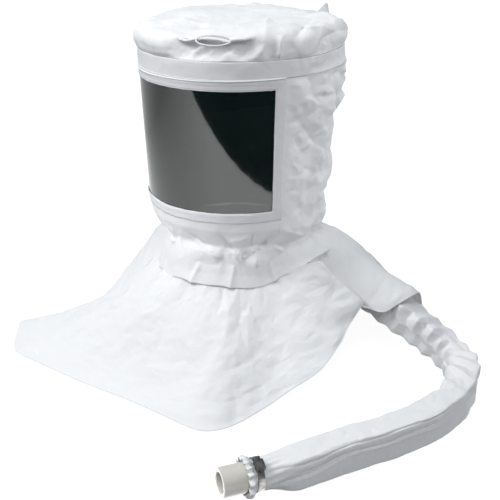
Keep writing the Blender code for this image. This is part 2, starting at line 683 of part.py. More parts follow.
def make_duct() -> None:
    """The duct from the inlet at the nape over the straps to its outlet above the forehead."""
    route = (
        (INLET_X, INLET_Y, INLET_Z + 0.0003),
        (INLET_X, INLET_Y + 0.002, -0.010),
        (INLET_X, INLET_Y + 0.004, 0.030),
        (INLET_X + 0.001, 0.112, 0.070),
        (INLET_X + 0.002, 0.085, 0.095),
        (INLET_X + 0.004, 0.040, 0.1035),
        (INLET_X + 0.006, -0.020, 0.1035),
        (INLET_X + 0.008, -0.066, 0.099),
    )
    line = smooth_through(route, 0.016)
    half = (DUCT_WIDTH / 2, DUCT_DEPTH / 2)
    bore = (half[0] - DUCT_WALL, half[1] - DUCT_WALL)
    tube("air_duct", line, lambda i: half, lambda i: bore, GREY_HOSE, 12, Vector((0, -1, 0)))
    end, out = line[-1], (line[-1] - line[-2]).normalized()
    flare = [end + out * (CLEAR + OUTLET_HEIGHT * i) for i in range(3)]
    grow = lambda i: (half[0] + (OUTLET_LENGTH / 2 - half[0]) * i / 2, half[1] + (OUTLET_WIDTH / 2 - half[1]) * i / 4)
    shrink = lambda i: tuple(v - DUCT_WALL for v in grow(i))
    tube("duct_outlet", flare, grow, shrink, GREY_HOSE, 16, Vector((0, 0, 1)))
    top = INLET_Z
    foot = INLET_Z - SPIGOT_LENGTH
    place = Matrix.Translation((INLET_X, INLET_Y, 0)) @ Matrix.Rotation(radians(90), 4, "X")
    flange = SPIGOT_RADIUS + 0.0025
    profile = [(SPIGOT_BORE, foot), (SPIGOT_RADIUS, foot), (SPIGOT_RADIUS, top - 0.004), (flange, top - 0.004), (flange, top), (SPIGOT_BORE, top)]
    turned("inlet_spigot", profile, BLACK_PLASTIC, 24, place)


def hose_line() -> list[Vector]:
    """The hose's centreline, from the spigot to the cuff's inner end."""
    end = CUFF_FACE - CUFF_OUT * (CUFF_LENGTH + 3 * CLEAR)
    # Below the neck, the route's heights follow the height of the rest plane.
    share = (REST_DROP + NECK_SEAM) / (ROUTE_DROP + NECK_SEAM)
    route = [(x, y, z if z > NECK_SEAM else NECK_SEAM + (z - NECK_SEAM) * share) for x, y, z in HOSE_ROUTE]
    line = smooth_through([*route, end - CUFF_OUT * 0.035, end], HOSE_STEP)
    return [Vector((p.x, p.y, max(p.z, CUFF_FACE.z))) for p in line]


def make_hose(line: Sequence[Vector]) -> None:
    """The breathing hose, as a plain tube, inside its fabric sleeve."""
    curve = bpy.data.curves.new("breathing_hose", "CURVE")
    curve.dimensions = "3D"
    curve.bevel_depth = HOSE_RADIUS
    curve.bevel_resolution = 2
    curve.use_fill_caps = True
    spline = curve.splines.new("POLY")
    spline.points.add(len(line) - 1)
    for point, place in zip(spline.points, line):
        point.co = (*place, 1.0)
    hose = bpy.data.objects.new("breathing_hose", curve)
    bpy.context.scene.collection.objects.link(hose)
    curve.materials.append(finish("breathing_hose", *GREY_HOSE))

    straight = [CUFF_FACE - CUFF_OUT * d for d in (0.066, CLAMP_FROM_FACE + CLAMP_WIDTH / 2 + 0.002, CLAMP_FROM_FACE - CLAMP_WIDTH / 2 - 0.002, CUFF_SHOWN)]
    covered = [*between(line, SLEEVE_START, line_length(line) - 0.012, HOSE_STEP), *straight]
    last = len(covered)
    radii = {last - 4: (GATHERED + SLEEVE_RADIUS) / 2, last - 3: GATHERED, last - 2: GATHERED, last - 1: GATHERED + 0.0035}
    outer = lambda i: (radii.get(i, SLEEVE_RADIUS),) * 2
    inner = lambda i: (outer(i)[0] - SLEEVE_WALL,) * 2
    tube("hose_sleeve", covered, outer, inner, FABRIC_WHITE, SLEEVE_SIDES, Vector((0, 1, 0)))


def basis(origin: Vector, along: Vector, out: Vector) -> Matrix:
    """A placing whose Y runs along a tube and whose Z points out of it."""
    y = along.normalized()
    z = (out - y * out.dot(y)).normalized()
    x = y.cross(z)
    return Matrix.LocRotScale(origin, Matrix((x, y, z)).transposed(), None)


def make_cuff() -> None:
    """The cuff that the blower's hose fitting takes."""
    place = basis(CUFF_FACE, CUFF_OUT, Vector((0, 0, 1)))
    profile = [(CUFF_BORE, -CUFF_LENGTH), (CUFF_RADIUS, -CUFF_LENGTH), (CUFF_RADIUS, 0.0), (CUFF_BORE, 0.0)]
    turned("end_cuff", profile, IVORY, 32, place)


def arc_band(radius: float, thick: float, width: float, start: float, end: float, step: float = 9.0):
    """Rows of a curved strip about local Y, at its middle radius."""
    middle = radius + thick / 2
    angles = spread(start, end, step)
    return [[Vector((middle * sin(radians(a)), y, middle * cos(radians(a)))) for a in angles] for y in (-width / 2, width / 2)]


def make_clamp(prefix: str, place: Matrix, radius: float) -> None:
    """A worm-drive clamp: band, screw housing, screw and the band's free tail."""
    outer = radius + CLAMP_THICK
    half = CLAMP_WIDTH / 2
    profile = [(radius, -half), (outer, -half), (outer, half), (radius, half)]
    turned(f"{prefix}_clamp_band", profile, STEEL, 36, place)

    tail_in = outer + CLEAR
    rows = [[place @ p for p in row] for row in arc_band(tail_in, CLAMP_THICK, CLAMP_WIDTH, -75, 22)]
    tail = sheet(f"{prefix}_clamp_tail", rows, STEEL, CLAMP_THICK)
    set_origin(tail, place.translation.copy())

    screw_line = tail_in + CLAMP_THICK + CLEAR + CLAMP_SHANK
    roof = screw_line + CLAMP_SHANK + CLEAR
    wall = 0.0008
    inside = half + 0.0006
    legs = outer + CLEAR
    bridge = [
        (-inside - wall, legs), (-inside, legs), (-inside, roof), (inside, roof),
        (inside, legs), (inside + wall, legs), (inside + wall, roof + wall), (-inside - wall, roof + wall),
    ]
    turn = Matrix.Rotation(radians(-90), 4, "Z")
    long = CLAMP_LENGTH / 2
    prism(f"{prefix}_clamp_housing", bridge, -long, long, STEEL, place @ turn)

    shank = circle(CLAMP_SHANK, 16)
    at = place @ Matrix.Translation((0, 0, screw_line)) @ turn
    head_start = long + 0.0004
    hexagon = circle(CLAMP_HEAD, 6)
    screw = prism(f"{prefix}_clamp_screw", hexagon, head_start, head_start + CLAMP_HEAD_LENGTH, STEEL, at)
    body = prism(f"{prefix}_screw_shank", shank, -long - 0.0006, head_start + 0.001, STEEL, at)
    cut(screw, body, "UNION")
    slot = prism(
        f"{prefix}_screw_slot", [(-0.0005, -0.01), (0.0005, -0.01), (0.0005, 0.01), (-0.0005, 0.01)],
        head_start + CLAMP_HEAD_LENGTH - 0.0014, head_start + 0.02, STEEL, at,
    )
    cut(screw, slot)
    set_origin(screw, at.translation.copy())


def main() -> None:
    """Build every piece."""
    clear_scene()
    line = hose_line()
    make_window()
    make_crown()
    make_wall()
    make_skirt()
    make_elastic()
    make_bibs(line)
    make_headband()
    make_crown_straps()
    make_ratchet()
    make_duct()
    make_hose(line)
    make_cuff()
    make_clamp("lower", basis(CUFF_FACE - CUFF_OUT * CLAMP_FROM_FACE, CUFF_OUT, Vector((0.5, -0.2, 0.9))), GATHERED + CLEAR)
    down = (line[1] - line[0]).normalized()
    make_clamp("upper", basis(line[0] + down * 0.010, down, Vector((0, -1, 0))), HOSE_RADIUS + CLEAR)


main()
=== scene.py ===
"""Looks of a loose-fitting respirator hood with its bibs, head harness and sleeved breathing hose.

Metres, +Z up, wearer facing -Y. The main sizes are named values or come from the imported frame; the numbers
of each fold and crease stand in the formula that makes it.
"""

from __future__ import annotations

import json
import logging
from dataclasses import dataclass
from enum import Enum
from math import cos, degrees, pi, radians, sin
from typing import Sequence

import bmesh
import bpy
import numpy as np
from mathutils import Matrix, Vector
from mathutils.bvhtree import BVHTree
from mathutils.geometry import delaunay_2d_cdt


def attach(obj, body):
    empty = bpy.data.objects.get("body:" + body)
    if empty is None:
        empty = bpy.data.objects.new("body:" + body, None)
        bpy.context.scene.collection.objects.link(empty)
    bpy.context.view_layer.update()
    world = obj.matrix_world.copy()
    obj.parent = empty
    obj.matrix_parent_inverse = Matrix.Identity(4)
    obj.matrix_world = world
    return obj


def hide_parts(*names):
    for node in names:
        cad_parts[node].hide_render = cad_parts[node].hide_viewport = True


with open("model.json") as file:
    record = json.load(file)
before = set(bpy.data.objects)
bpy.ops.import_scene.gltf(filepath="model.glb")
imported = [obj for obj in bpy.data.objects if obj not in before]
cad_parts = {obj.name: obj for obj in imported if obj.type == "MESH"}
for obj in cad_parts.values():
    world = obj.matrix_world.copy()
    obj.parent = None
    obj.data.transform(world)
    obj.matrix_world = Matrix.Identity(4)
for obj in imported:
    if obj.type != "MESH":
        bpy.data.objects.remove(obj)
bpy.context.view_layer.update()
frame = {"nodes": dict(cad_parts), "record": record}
LOG = logging.getLogger("respirator")

REST_PLANE = -0.425
HOOD = "hood"
SEED = 11


class Slot(Enum):
    """The record's material slots."""

    FABRIC = "nonwoven"
    BINDING = "binding"
    VISOR = "visor"
    PLASTIC = "harness_plastic"
    PAD = "sweat_pad"
    WEBBING = "webbing"
    HOSE = "duct_grey"
    CUFF = "cuff_ivory"
    STEEL = "clamp_steel"


# ------------------------------------------------------------------ shader groups
class NodeTree:
    """A thin wrapper for adding and linking shader nodes."""

    def __init__(self, tree: bpy.types.NodeTree) -> None:
        """Args:
        tree: the tree to build in.
        """
        self.tree = tree

    def add(self, kind: str, **settings):
        """A new node; settings with a capital name or a number set its input sockets.

        Returns:
            The node.
        """
        node = self.tree.nodes.new(kind)
        for key, value in settings.items():
            if hasattr(node, key):
                setattr(node, key, value)
            else:
                node.inputs[key.replace("_", " ")].default_value = value
        return node

    def link(self, source, target) -> None:
        """Join an output to an input."""
        self.tree.links.new(source, target)


def new_group(name: str, inputs: dict[str, tuple[str, object]], outputs: dict[str, str]):
    """An empty shader group with the given sockets.

    Args:
        name: the group's name.
        inputs: socket name to (socket type, default value).
        outputs: socket name to socket type.

    Returns:
        The group, its input node and its output node.
    """
    group = bpy.data.node_groups.new(name, "ShaderNodeTree")
    for label, (kind, value) in inputs.items():
        socket = group.interface.new_socket(label, in_out="INPUT", socket_type=kind)
        if value is not None:
            socket.default_value = value
    for label, kind in outputs.items():
        group.interface.new_socket(label, in_out="OUTPUT", socket_type=kind)
    return group, group.nodes.new("NodeGroupInput"), group.nodes.new("NodeGroupOutput")


FLOAT, VECTOR, COLOUR = "NodeSocketFloat", "NodeSocketVector", "NodeSocketColor"


def crinkle_group() -> bpy.types.NodeTree:
    """Fine creases of a spunbonded sheet: a height and a mask of its swirled fibres.

    Returns:
        The shader group.
    """
    group, start, end = new_group(
        "crinkle",
        {"Vector": (VECTOR, None), "Crease Scale": (FLOAT, 70.0), "Fibre Scale": (FLOAT, 900.0)},
        {"Height": FLOAT, "Fibres": FLOAT},
    )
    tree = NodeTree(group)
    warp = tree.add("ShaderNodeTexNoise", Scale=25.0, Detail=3.0)
    mix = tree.add("ShaderNodeVectorMath", operation="MULTIPLY_ADD")
    mix.inputs[1].default_value = (0.02, 0.02, 0.02)
    tree.link(start.outputs["Vector"], warp.inputs["Vector"])
    tree.link(warp.outputs["Color"], mix.inputs[0])
    tree.link(start.outputs["Vector"], mix.inputs[2])
    heights = []
    for factor in (1.0, 2.7):
        scale = tree.add("ShaderNodeMath", operation="MULTIPLY")
        scale.inputs[1].default_value = factor
        tree.link(start.outputs["Crease Scale"], scale.inputs[0])
        cells = tree.add("ShaderNodeTexVoronoi", feature="DISTANCE_TO_EDGE")
        tree.link(mix.outputs[0], cells.inputs["Vector"])
        tree.link(scale.outputs[0], cells.inputs["Scale"])
        soft = tree.add("ShaderNodeMath", operation="POWER")
        soft.inputs[1].default_value = 0.6
        tree.link(cells.outputs["Distance"], soft.inputs[0])
        heights.append(soft)
    join = tree.add("ShaderNodeMath", operation="MULTIPLY_ADD")
    join.inputs[1].default_value = 0.4
    tree.link(heights[1].outputs[0], join.inputs[0])
    tree.link(heights[0].outputs[0], join.inputs[2])
    fibres = tree.add("ShaderNodeTexNoise", Detail=6.0, Roughness=0.7, Distortion=1.6)
    tree.link(start.outputs["Vector"], fibres.inputs["Vector"])
    tree.link(start.outputs["Fibre Scale"], fibres.inputs["Scale"])
    with_fibres = tree.add("ShaderNodeMath", operation="MULTIPLY_ADD")
    with_fibres.inputs[1].default_value = 0.10
    tree.link(fibres.outputs["Fac"], with_fibres.inputs[0])
    tree.link(join.outputs[0], with_fibres.inputs[2])
    tree.link(with_fibres.outputs[0], end.inputs["Height"])
    tree.link(fibres.outputs["Fac"], end.inputs["Fibres"])
    return group


def grain_group() -> bpy.types.NodeTree:
    """Moulded or rubbed surface: a fine height and a slow patchy mask.

    Returns:
        The shader group.
    """
    group, start, end = new_group(
        "grain",
        {"Vector": (VECTOR, None), "Scale": (FLOAT, 900.0), "Patch Scale": (FLOAT, 30.0)},
        {"Height": FLOAT, "Patches": FLOAT},
    )
    tree = NodeTree(group)
    fine = tree.add("ShaderNodeTexNoise", Detail=3.0, Roughness=0.6)
    slow = tree.add("ShaderNodeTexNoise", Detail=4.0, Roughness=0.55)
    for node, scale in ((fine, "Scale"), (slow, "Patch Scale")):
        tree.link(start.outputs["Vector"], node.inputs["Vector"])
        tree.link(start.outputs[scale], node.inputs["Scale"])
    tree.link(fine.outputs["Fac"], end.inputs["Height"])
    tree.link(slow.outputs["Fac"], end.inputs["Patches"])
    return group


def weave_group() -> bpy.types.NodeTree:
    """Woven tape: two crossed sets of threads as a height and a mask.

    Returns:
        The shader group.
    """
    group, start, end = new_group(
        "weave", {"Vector": (VECTOR, None), "Scale": (FLOAT, 900.0)}, {"Height": FLOAT, "Threads": FLOAT}
    )
    tree = NodeTree(group)
    parts = []
    for axis in ("X", "Y", "Z"):
        wave = tree.add("ShaderNodeTexWave", wave_type="BANDS", bands_direction=axis, Distortion=0.4)
        tree.link(start.outputs["Vector"], wave.inputs["Vector"])
        tree.link(start.outputs["Scale"], wave.inputs["Scale"])
        parts.append(wave)
    first = tree.add("ShaderNodeMath", operation="MULTIPLY")
    tree.link(parts[0].outputs["Fac"], first.inputs[0])
    tree.link(parts[2].outputs["Fac"], first.inputs[1])
    both = tree.add("ShaderNodeMath", operation="ADD")
    tree.link(first.outputs[0], both.inputs[0])
    tree.link(parts[1].outputs["Fac"], both.inputs[1])
    tree.link(both.outputs[0], end.inputs["Height"])
    tree.link(both.outputs[0], end.inputs["Threads"])
    return group


@dataclass(frozen=True)
class Finish:
    """One surface finish: a Principled shader with a group's pattern in its colour, roughness and bump."""

    name: str
    pattern: str
    scales: tuple[tuple[str, float], ...]
    mask: str
    dark: tuple[float, float, float]
    light: tuple[float, float, float]
    rough_low: float
    rough_high: float
    bump: float
    bump_distance: float
    metallic: float = 0.0
    sheen: float = 0.0
    coat: float = 0.0
    alpha: float = 1.0
    specular: float = 0.5
    subsurface: float = 0.0

    def build(self, groups: dict[str, bpy.types.NodeTree]) -> bpy.types.Material:
        """Make the material.

        Args:
            groups: the shared shader groups by name.

        Returns:
            The material.
        """
        material = bpy.data.materials.new(self.name)
        material.use_nodes = True
        tree = NodeTree(material.node_tree)
        shader = material.node_tree.nodes["Principled BSDF"]
        place = tree.add("ShaderNodeTexCoord")
        group = tree.add("ShaderNodeGroup")
        group.node_tree = groups[self.pattern]
        tree.link(place.outputs["Object"], group.inputs["Vector"])
        for label, value in self.scales:
            group.inputs[label].default_value = value
        ramp = tree.add("ShaderNodeValToRGB")
        ramp.color_ramp.elements[0].position = 0.35
        ramp.color_ramp.elements[1].position = 0.65
        ramp.color_ramp.elements[0].color = (*self.dark, 1)
        ramp.color_ramp.elements[1].color = (*self.light, 1)
        tree.link(group.outputs[self.mask], ramp.inputs["Fac"])
        tree.link(ramp.outputs["Color"], shader.inputs["Base Color"])
        rough = tree.add("ShaderNodeMapRange")
        rough.inputs["To Min"].default_value = self.rough_low
        rough.inputs["To Max"].default_value = self.rough_high
        tree.link(group.outputs[self.mask], rough.inputs["Value"])
        tree.link(rough.outputs["Result"], shader.inputs["Roughness"])
        bump = tree.add("ShaderNodeBump", Strength=self.bump, Distance=self.bump_distance)
        tree.link(group.outputs["Height"], bump.inputs["Height"])
        tree.link(bump.outputs["Normal"], shader.inputs["Normal"])
        shader.inputs["Metallic"].default_value = self.metallic
        shader.inputs["Sheen Weight"].default_value = self.sheen
        shader.inputs["Coat Weight"].default_value = self.coat
        shader.inputs["Coat Roughness"].default_value = 0.08
        shader.inputs["Alpha"].default_value = self.alpha
        shader.inputs["Specular IOR Level"].default_value = self.specular
        if self.subsurface:
            shader.inputs["Subsurface Weight"].default_value = self.subsurface
            shader.inputs["Subsurface Radius"].default_value = (0.004, 0.004, 0.004)
            shader.inputs["Subsurface Scale"].default_value = 1.0
        return material


CRINKLE = (("Crease Scale", 75.0), ("Fibre Scale", 900.0))
FINISHES = {
    Slot.FABRIC: Finish(
        "nonwoven_sheet", "crinkle", CRINKLE, "Fibres", (0.83, 0.84, 0.855), (0.90, 0.905, 0.91), 0.55, 0.8,
        0.30, 0.0012, sheen=0.05
    ),
    Slot.BINDING: Finish(
        "folded_binding", "crinkle", (("Crease Scale", 120.0), ("Fibre Scale", 1100.0)), "Fibres",
        (0.76, 0.765, 0.79), (0.84, 0.845, 0.86), 0.6, 0.85, 0.22, 0.0006, sheen=0.05
    ),
    Slot.VISOR: Finish(
        "smoked_film", "grain", (("Scale", 40.0), ("Patch Scale", 9.0)), "Patches", (0.006, 0.012, 0.012),
        (0.010, 0.018, 0.018), 0.03, 0.06, 0.01, 0.0004, alpha=0.80, specular=0.62
    ),
    Slot.PLASTIC: Finish(
        "moulded_black", "grain", (("Scale", 1400.0), ("Patch Scale", 40.0)), "Patches",
        (0.018, 0.018, 0.020), (0.035, 0.035, 0.038), 0.38, 0.55, 0.18, 0.0003
    ),
    Slot.PAD: Finish(
        "sweat_knit", "weave", (("Scale", 700.0),), "Threads", (0.05, 0.055, 0.07), (0.10, 0.11, 0.13), 0.8,
        0.95, 0.5, 0.0005, sheen=0.3
    ),
    Slot.WEBBING: Finish(
        "woven_tape", "weave", (("Scale", 500.0),), "Threads", (0.025, 0.025, 0.03), (0.07, 0.07, 0.08),
        0.7, 0.9, 0.5, 0.0005, sheen=0.15
    ),
    Slot.HOSE: Finish(
        "grey_hose", "grain", (("Scale", 900.0), ("Patch Scale", 25.0)), "Patches", (0.33, 0.34, 0.35),
        (0.44, 0.45, 0.46), 0.4, 0.6, 0.12, 0.0003
    ),
    Slot.CUFF: Finish(
        "ivory_cuff", "grain", (("Scale", 1100.0), ("Patch Scale", 28.0)), "Patches", (0.58, 0.565, 0.51),
        (0.68, 0.66, 0.61), 0.28, 0.42, 0.08, 0.0003, coat=0.15
    ),
    Slot.STEEL: Finish(
        "plated_steel", "grain", (("Scale", 1600.0), ("Patch Scale", 120.0)), "Patches",
        (0.09, 0.088, 0.085), (0.24, 0.235, 0.225), 0.28, 0.46, 0.2, 0.0002, metallic=1.0
    ),
}


class Workshop:
    """Shared materials and the making of pieces."""

    def __init__(self) -> None:
        """Build the shader groups and every finish once."""
        groups = {"crinkle": crinkle_group(), "grain": grain_group(), "weave": weave_group()}
        self.looks = {slot: finish.build(groups) for slot, finish in FINISHES.items()}

    def piece(
        self, name: str, points: np.ndarray, faces: Sequence[Sequence[int]], slot: Slot, smooth: bool = True
    ):
        """A mesh object at the origin.

        Returns:
            The object.
        """
        mesh = bpy.data.meshes.new(name)
        mesh.from_pydata(np.asarray(points).reshape(-1, 3).tolist(), [], faces)
        obj = bpy.data.objects.new(name, mesh)
        bpy.context.scene.collection.objects.link(obj)
        mesh.materials.append(self.looks[slot])
        work = bmesh.new()
        work.from_mesh(mesh)
        bmesh.ops.recalc_face_normals(work, faces=work.faces)
        work.to_mesh(mesh)
        work.free()
        if smooth:
            mesh.shade_smooth()
        LOG.info("piece %s: %d faces", name, len(mesh.polygons))
        return obj

    def cloth(self, name: str, points: np.ndarray, slot: Slot, thick: float = 0.0006, closed: bool = False):
        """A sheet of cloth through rows of points.

        Returns:
            The object, with its thickness as a live modifier.
        """
        rows, columns = points.shape[:2]
        obj = self.piece(name, points, grid_faces(rows, columns, closed), slot)
        solid = obj.modifiers.new("thickness", "SOLIDIFY")
        solid.thickness = thick
        solid.offset = 0.0
        return obj

    def dress(self, node: str, slot: Slot) -> None:
        """Give a CAD node its finish."""
        obj = frame["nodes"][node]
        obj.data.materials.clear()
        obj.data.materials.append(self.looks[slot])


def grid_faces(rows: int, columns: int, closed: bool = False) -> list[tuple[int, int, int, int]]:
    """Quads over a grid of points, joined round when closed."""
    wrap = columns if closed else columns - 1
    return [
        (
            r * columns + c, r * columns + (c + 1) % columns, (r + 1) * columns + (c + 1) % columns,
            (r + 1) * columns + c
        )
        for r in range(rows - 1)
        for c in range(wrap)
    ]


def body_of(node: str) -> str:
    """The name of the body that a CAD node belongs to."""
    return next(name for name, nodes in frame["record"]["behaviour"]["bodies"].items() if node in nodes)


def finish_piece(obj, slot: Slot, body: str = HOOD, replaces: Sequence[str] = ()):
    """Ride a piece on its body and hide what it stands for."""
    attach(obj, body)
    if replaces:
        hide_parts(*replaces)
    return obj


# ------------------------------------------------------------------ creased relief
class Creases:
    """Relief of a creased sheet: flat facets between sharp folds, over a plane measured in metres."""

    def __init__(
        self, seed: int, size: float, low: Sequence[float], high: Sequence[float],
        stretch: Sequence[float] = (1.0, 1.0)
    ) -> None:
        """Args:
        seed: of the random corners.
        size: a facet's mean width.
        low: the plane's lower corner.
        high: its upper corner.
        stretch: how much longer facets are along each axis.
        """
        rng = np.random.default_rng(seed)
        self.stretch = np.array(stretch, float)
        start = np.array(low) / self.stretch - 2 * size
        stop = np.array(high) / self.stretch + 2 * size
        count = np.ceil((stop - start) / size).astype(int)
        cells = np.stack(
            np.meshgrid(np.arange(count[0]), np.arange(count[1]), indexing="ij"), -1
        ).reshape(-1, 2)
        corners = start + (cells + rng.uniform(0.0, 1.0, cells.shape)) * size
        heights = rng.uniform(-1.0, 1.0, len(corners))
        made = delaunay_2d_cdt([Vector(c) for c in corners], [], [], 0, 1e-9)
        source = [ids[0] for ids in made[3]]
        points = [(p.x, p.y, heights[source[i]]) for i, p in enumerate(made[0])]
        self.tree = BVHTree.FromPolygons(points, [list(face) for face in made[2]])

    def at(self, u: np.ndarray, v: np.ndarray) -> np.ndarray:
        """Heights from -1 to 1 at the given places."""
        down = Vector((0, 0, -1))
        cast = self.tree.ray_cast
        flat = zip((u / self.stretch[0]).ravel().tolist(), (v / self.stretch[1]).ravel().tolist())
        found = [cast(Vector((x, y, 5.0)), down)[0] for x, y in flat]
        return np.array([hit.z if hit else 0.0 for hit in found]).reshape(u.shape)


def soften(values: np.ndarray, times: int = 1) -> np.ndarray:
    """Values on a grid, blurred with their neighbours."""
    if values.ndim == 1:
        return values
    for _ in range(times):
        wide = np.pad(values, 1, mode="edge")
        values = (
            4 * wide[1:-1, 1:-1] + 2 * (wide[:-2, 1:-1] + wide[2:, 1:-1] + wide[1:-1, :-2] + wide[1:-1, 2:])
            + wide[:-2, :-2] + wide[:-2, 2:] + wide[2:, :-2] + wide[2:, 2:]
        ) / 16
    return values


def step(low: float, high: float, value: np.ndarray) -> np.ndarray:
    """0 below low, 1 above high, smooth between."""
    t = np.clip((value - low) / (high - low), 0.0, 1.0)
    return t * t * (3 - 2 * t)


def hump(centre: float, width: float, value: np.ndarray) -> np.ndarray:
    """1 at the centre, falling smoothly away."""
    return np.exp(-(((value - centre) / width) ** 2))


@dataclass(frozen=True)
class Fold:
    """A crease between two places: a ridge when its height is positive, a valley when negative."""

    start: tuple[float, float]
    end: tuple[float, float]
    height: float
    width: float

    def at(self, u: np.ndarray, v: np.ndarray) -> np.ndarray:
        """The fold's height at the given places."""
        run = np.array(self.end) - np.array(self.start)
        along = ((u - self.start[0]) * run[0] + (v - self.start[1]) * run[1]) / (run @ run)
        near = np.clip(along, 0.0, 1.0)
        away = np.hypot(u - self.start[0] - near * run[0], v - self.start[1] - near * run[1])
        ends = step(-0.15, 0.25, along) * (1 - step(0.75, 1.15, along))
        return self.height * np.exp(-away / self.width) * ends


def normals_of(points: np.ndarray) -> np.ndarray:
    """Unit normals of a grid of points."""
    along = np.gradient(points, axis=1)
    across = np.gradient(points, axis=0)
    normal = np.cross(along, across)
    return normal / np.maximum(np.linalg.norm(normal, axis=2, keepdims=True), 1e-12)


def curve_through(points: Sequence[Sequence[float]], count: int) -> np.ndarray:
    """Evenly spaced points on a smooth curve through the given ones."""
    route = np.array(points, float)
    route = np.vstack([2 * route[0] - route[1], route, 2 * route[-1] - route[-2]])
    fine = []
    for a, b, c, d in zip(route, route[1:], route[2:], route[3:]):
        for t in np.linspace(0, 1, 16, endpoint=False):
            fine.append(
                0.5
                * (2 * b + (c - a) * t + (2 * a - 5 * b + 4 * c - d) * t**2 + (3 * b - a - 3 * c + d) * t**3)
            )
    fine.append(route[-2])
    return even(np.array(fine), count)


def even(line: np.ndarray, count: int) -> np.ndarray:
    """A polyline resampled at equal spacing."""
    lengths = np.concatenate([[0.0], np.cumsum(np.linalg.norm(np.diff(line, axis=0), axis=1))])
    at = np.linspace(0, lengths[-1], count)
    return np.stack([np.interp(at, lengths, line[:, k]) for k in range(line.shape[1])], axis=1)


def length_of(line: np.ndarray) -> float:
    """A polyline's length."""
    return float(np.linalg.norm(np.diff(line, axis=0), axis=1).sum())


# ------------------------------------------------------------------ stitches
def stitch_tree(name: str, material: bpy.types.Material) -> bpy.types.NodeTree:
    """Geometry nodes that lay a small thread loop at equal steps along a line.

    Returns:
        The geometry node tree, with inputs for the stitch's length, its thickness and its pitch.
    """
    tree = bpy.data.node_groups.new(name, "GeometryNodeTree")
    face = tree.interface
    face.new_socket("Line", in_out="INPUT", socket_type="NodeSocketGeometry")
    for label, value in (("Pitch", 0.0032), ("Stitch Length", 0.0022), ("Thread Radius", 0.00028)):
        face.new_socket(label, in_out="INPUT", socket_type=FLOAT).default_value = value
    face.new_socket("Stitches", in_out="OUTPUT", socket_type="NodeSocketGeometry")
    add, link = tree.nodes.new, tree.links.new
    start, end = add("NodeGroupInput"), add("NodeGroupOutput")
    to_curve, resample = add("GeometryNodeMeshToCurve"), add("GeometryNodeResampleCurve")
    resample.mode = "LENGTH"
    link(start.outputs["Line"], to_curve.inputs["Mesh"])
    link(to_curve.outputs["Curve"], resample.inputs["Curve"])
    link(start.outputs["Pitch"], resample.inputs["Length"])
    tangent, align = add("GeometryNodeInputTangent"), add("FunctionNodeAlignRotationToVector")
    align.axis = "Z"
    link(tangent.outputs["Tangent"], align.inputs["Vector"])
    thread = add("GeometryNodeMeshIcoSphere")
    thread.inputs["Subdivisions"].default_value = 1
    thread.inputs["Radius"].default_value = 1.0
    size = add("ShaderNodeCombineXYZ")
    half = add("ShaderNodeMath")
    half.operation = "MULTIPLY"
    half.inputs[1].default_value = 0.5
    link(start.outputs["Stitch Length"], half.inputs[0])
    link(start.outputs["Thread Radius"], size.inputs["X"])
    link(start.outputs["Thread Radius"], size.inputs["Y"])
    link(half.outputs[0], size.inputs["Z"])
    copies = add("GeometryNodeInstanceOnPoints")
    link(resample.outputs["Curve"], copies.inputs["Points"])
    link(thread.outputs["Mesh"], copies.inputs["Instance"])
    link(align.outputs["Rotation"], copies.inputs["Rotation"])
    link(size.outputs["Vector"], copies.inputs["Scale"])
    real, dye = add("GeometryNodeRealizeInstances"), add("GeometryNodeSetMaterial")
    dye.inputs["Material"].default_value = material
    link(copies.outputs["Instances"], real.inputs["Geometry"])
    link(real.outputs["Geometry"], dye.inputs["Geometry"])
    link(dye.outputs["Geometry"], end.inputs["Stitches"])
    return tree


def along_lines(
    name: str, lines: Sequence[np.ndarray], tree: bpy.types.NodeTree, sizes: dict[str, float]
):
    """Copies laid along lines by a geometry node tree, as a plain mesh.

    Returns:
        The object.
    """
    points, edges = [], []
    for line in lines:
        first = len(points)
        points += [tuple(p) for p in line]
        edges += [(first + i, first + i + 1) for i in range(len(line) - 1)]
    mesh = bpy.data.meshes.new(name)
    mesh.from_pydata(points, edges, [])
    obj = bpy.data.objects.new(name, mesh)
    bpy.context.scene.collection.objects.link(obj)
    modifier = obj.modifiers.new("copies", "NODES")
    modifier.node_group = tree
    for item in tree.interface.items_tree:
        if item.in_out == "INPUT" and item.name in sizes:
            modifier[item.identifier] = sizes[item.name]
    graph = bpy.context.evaluated_depsgraph_get()
    graph.update()
    baked = bpy.data.meshes.new_from_object(obj.evaluated_get(graph), depsgraph=graph)
    obj.modifiers.remove(modifier)
    obj.data = baked
    baked.name = name
    baked.shade_smooth()
    LOG.info("piece %s: %d faces", name, len(baked.polygons))
    return obj


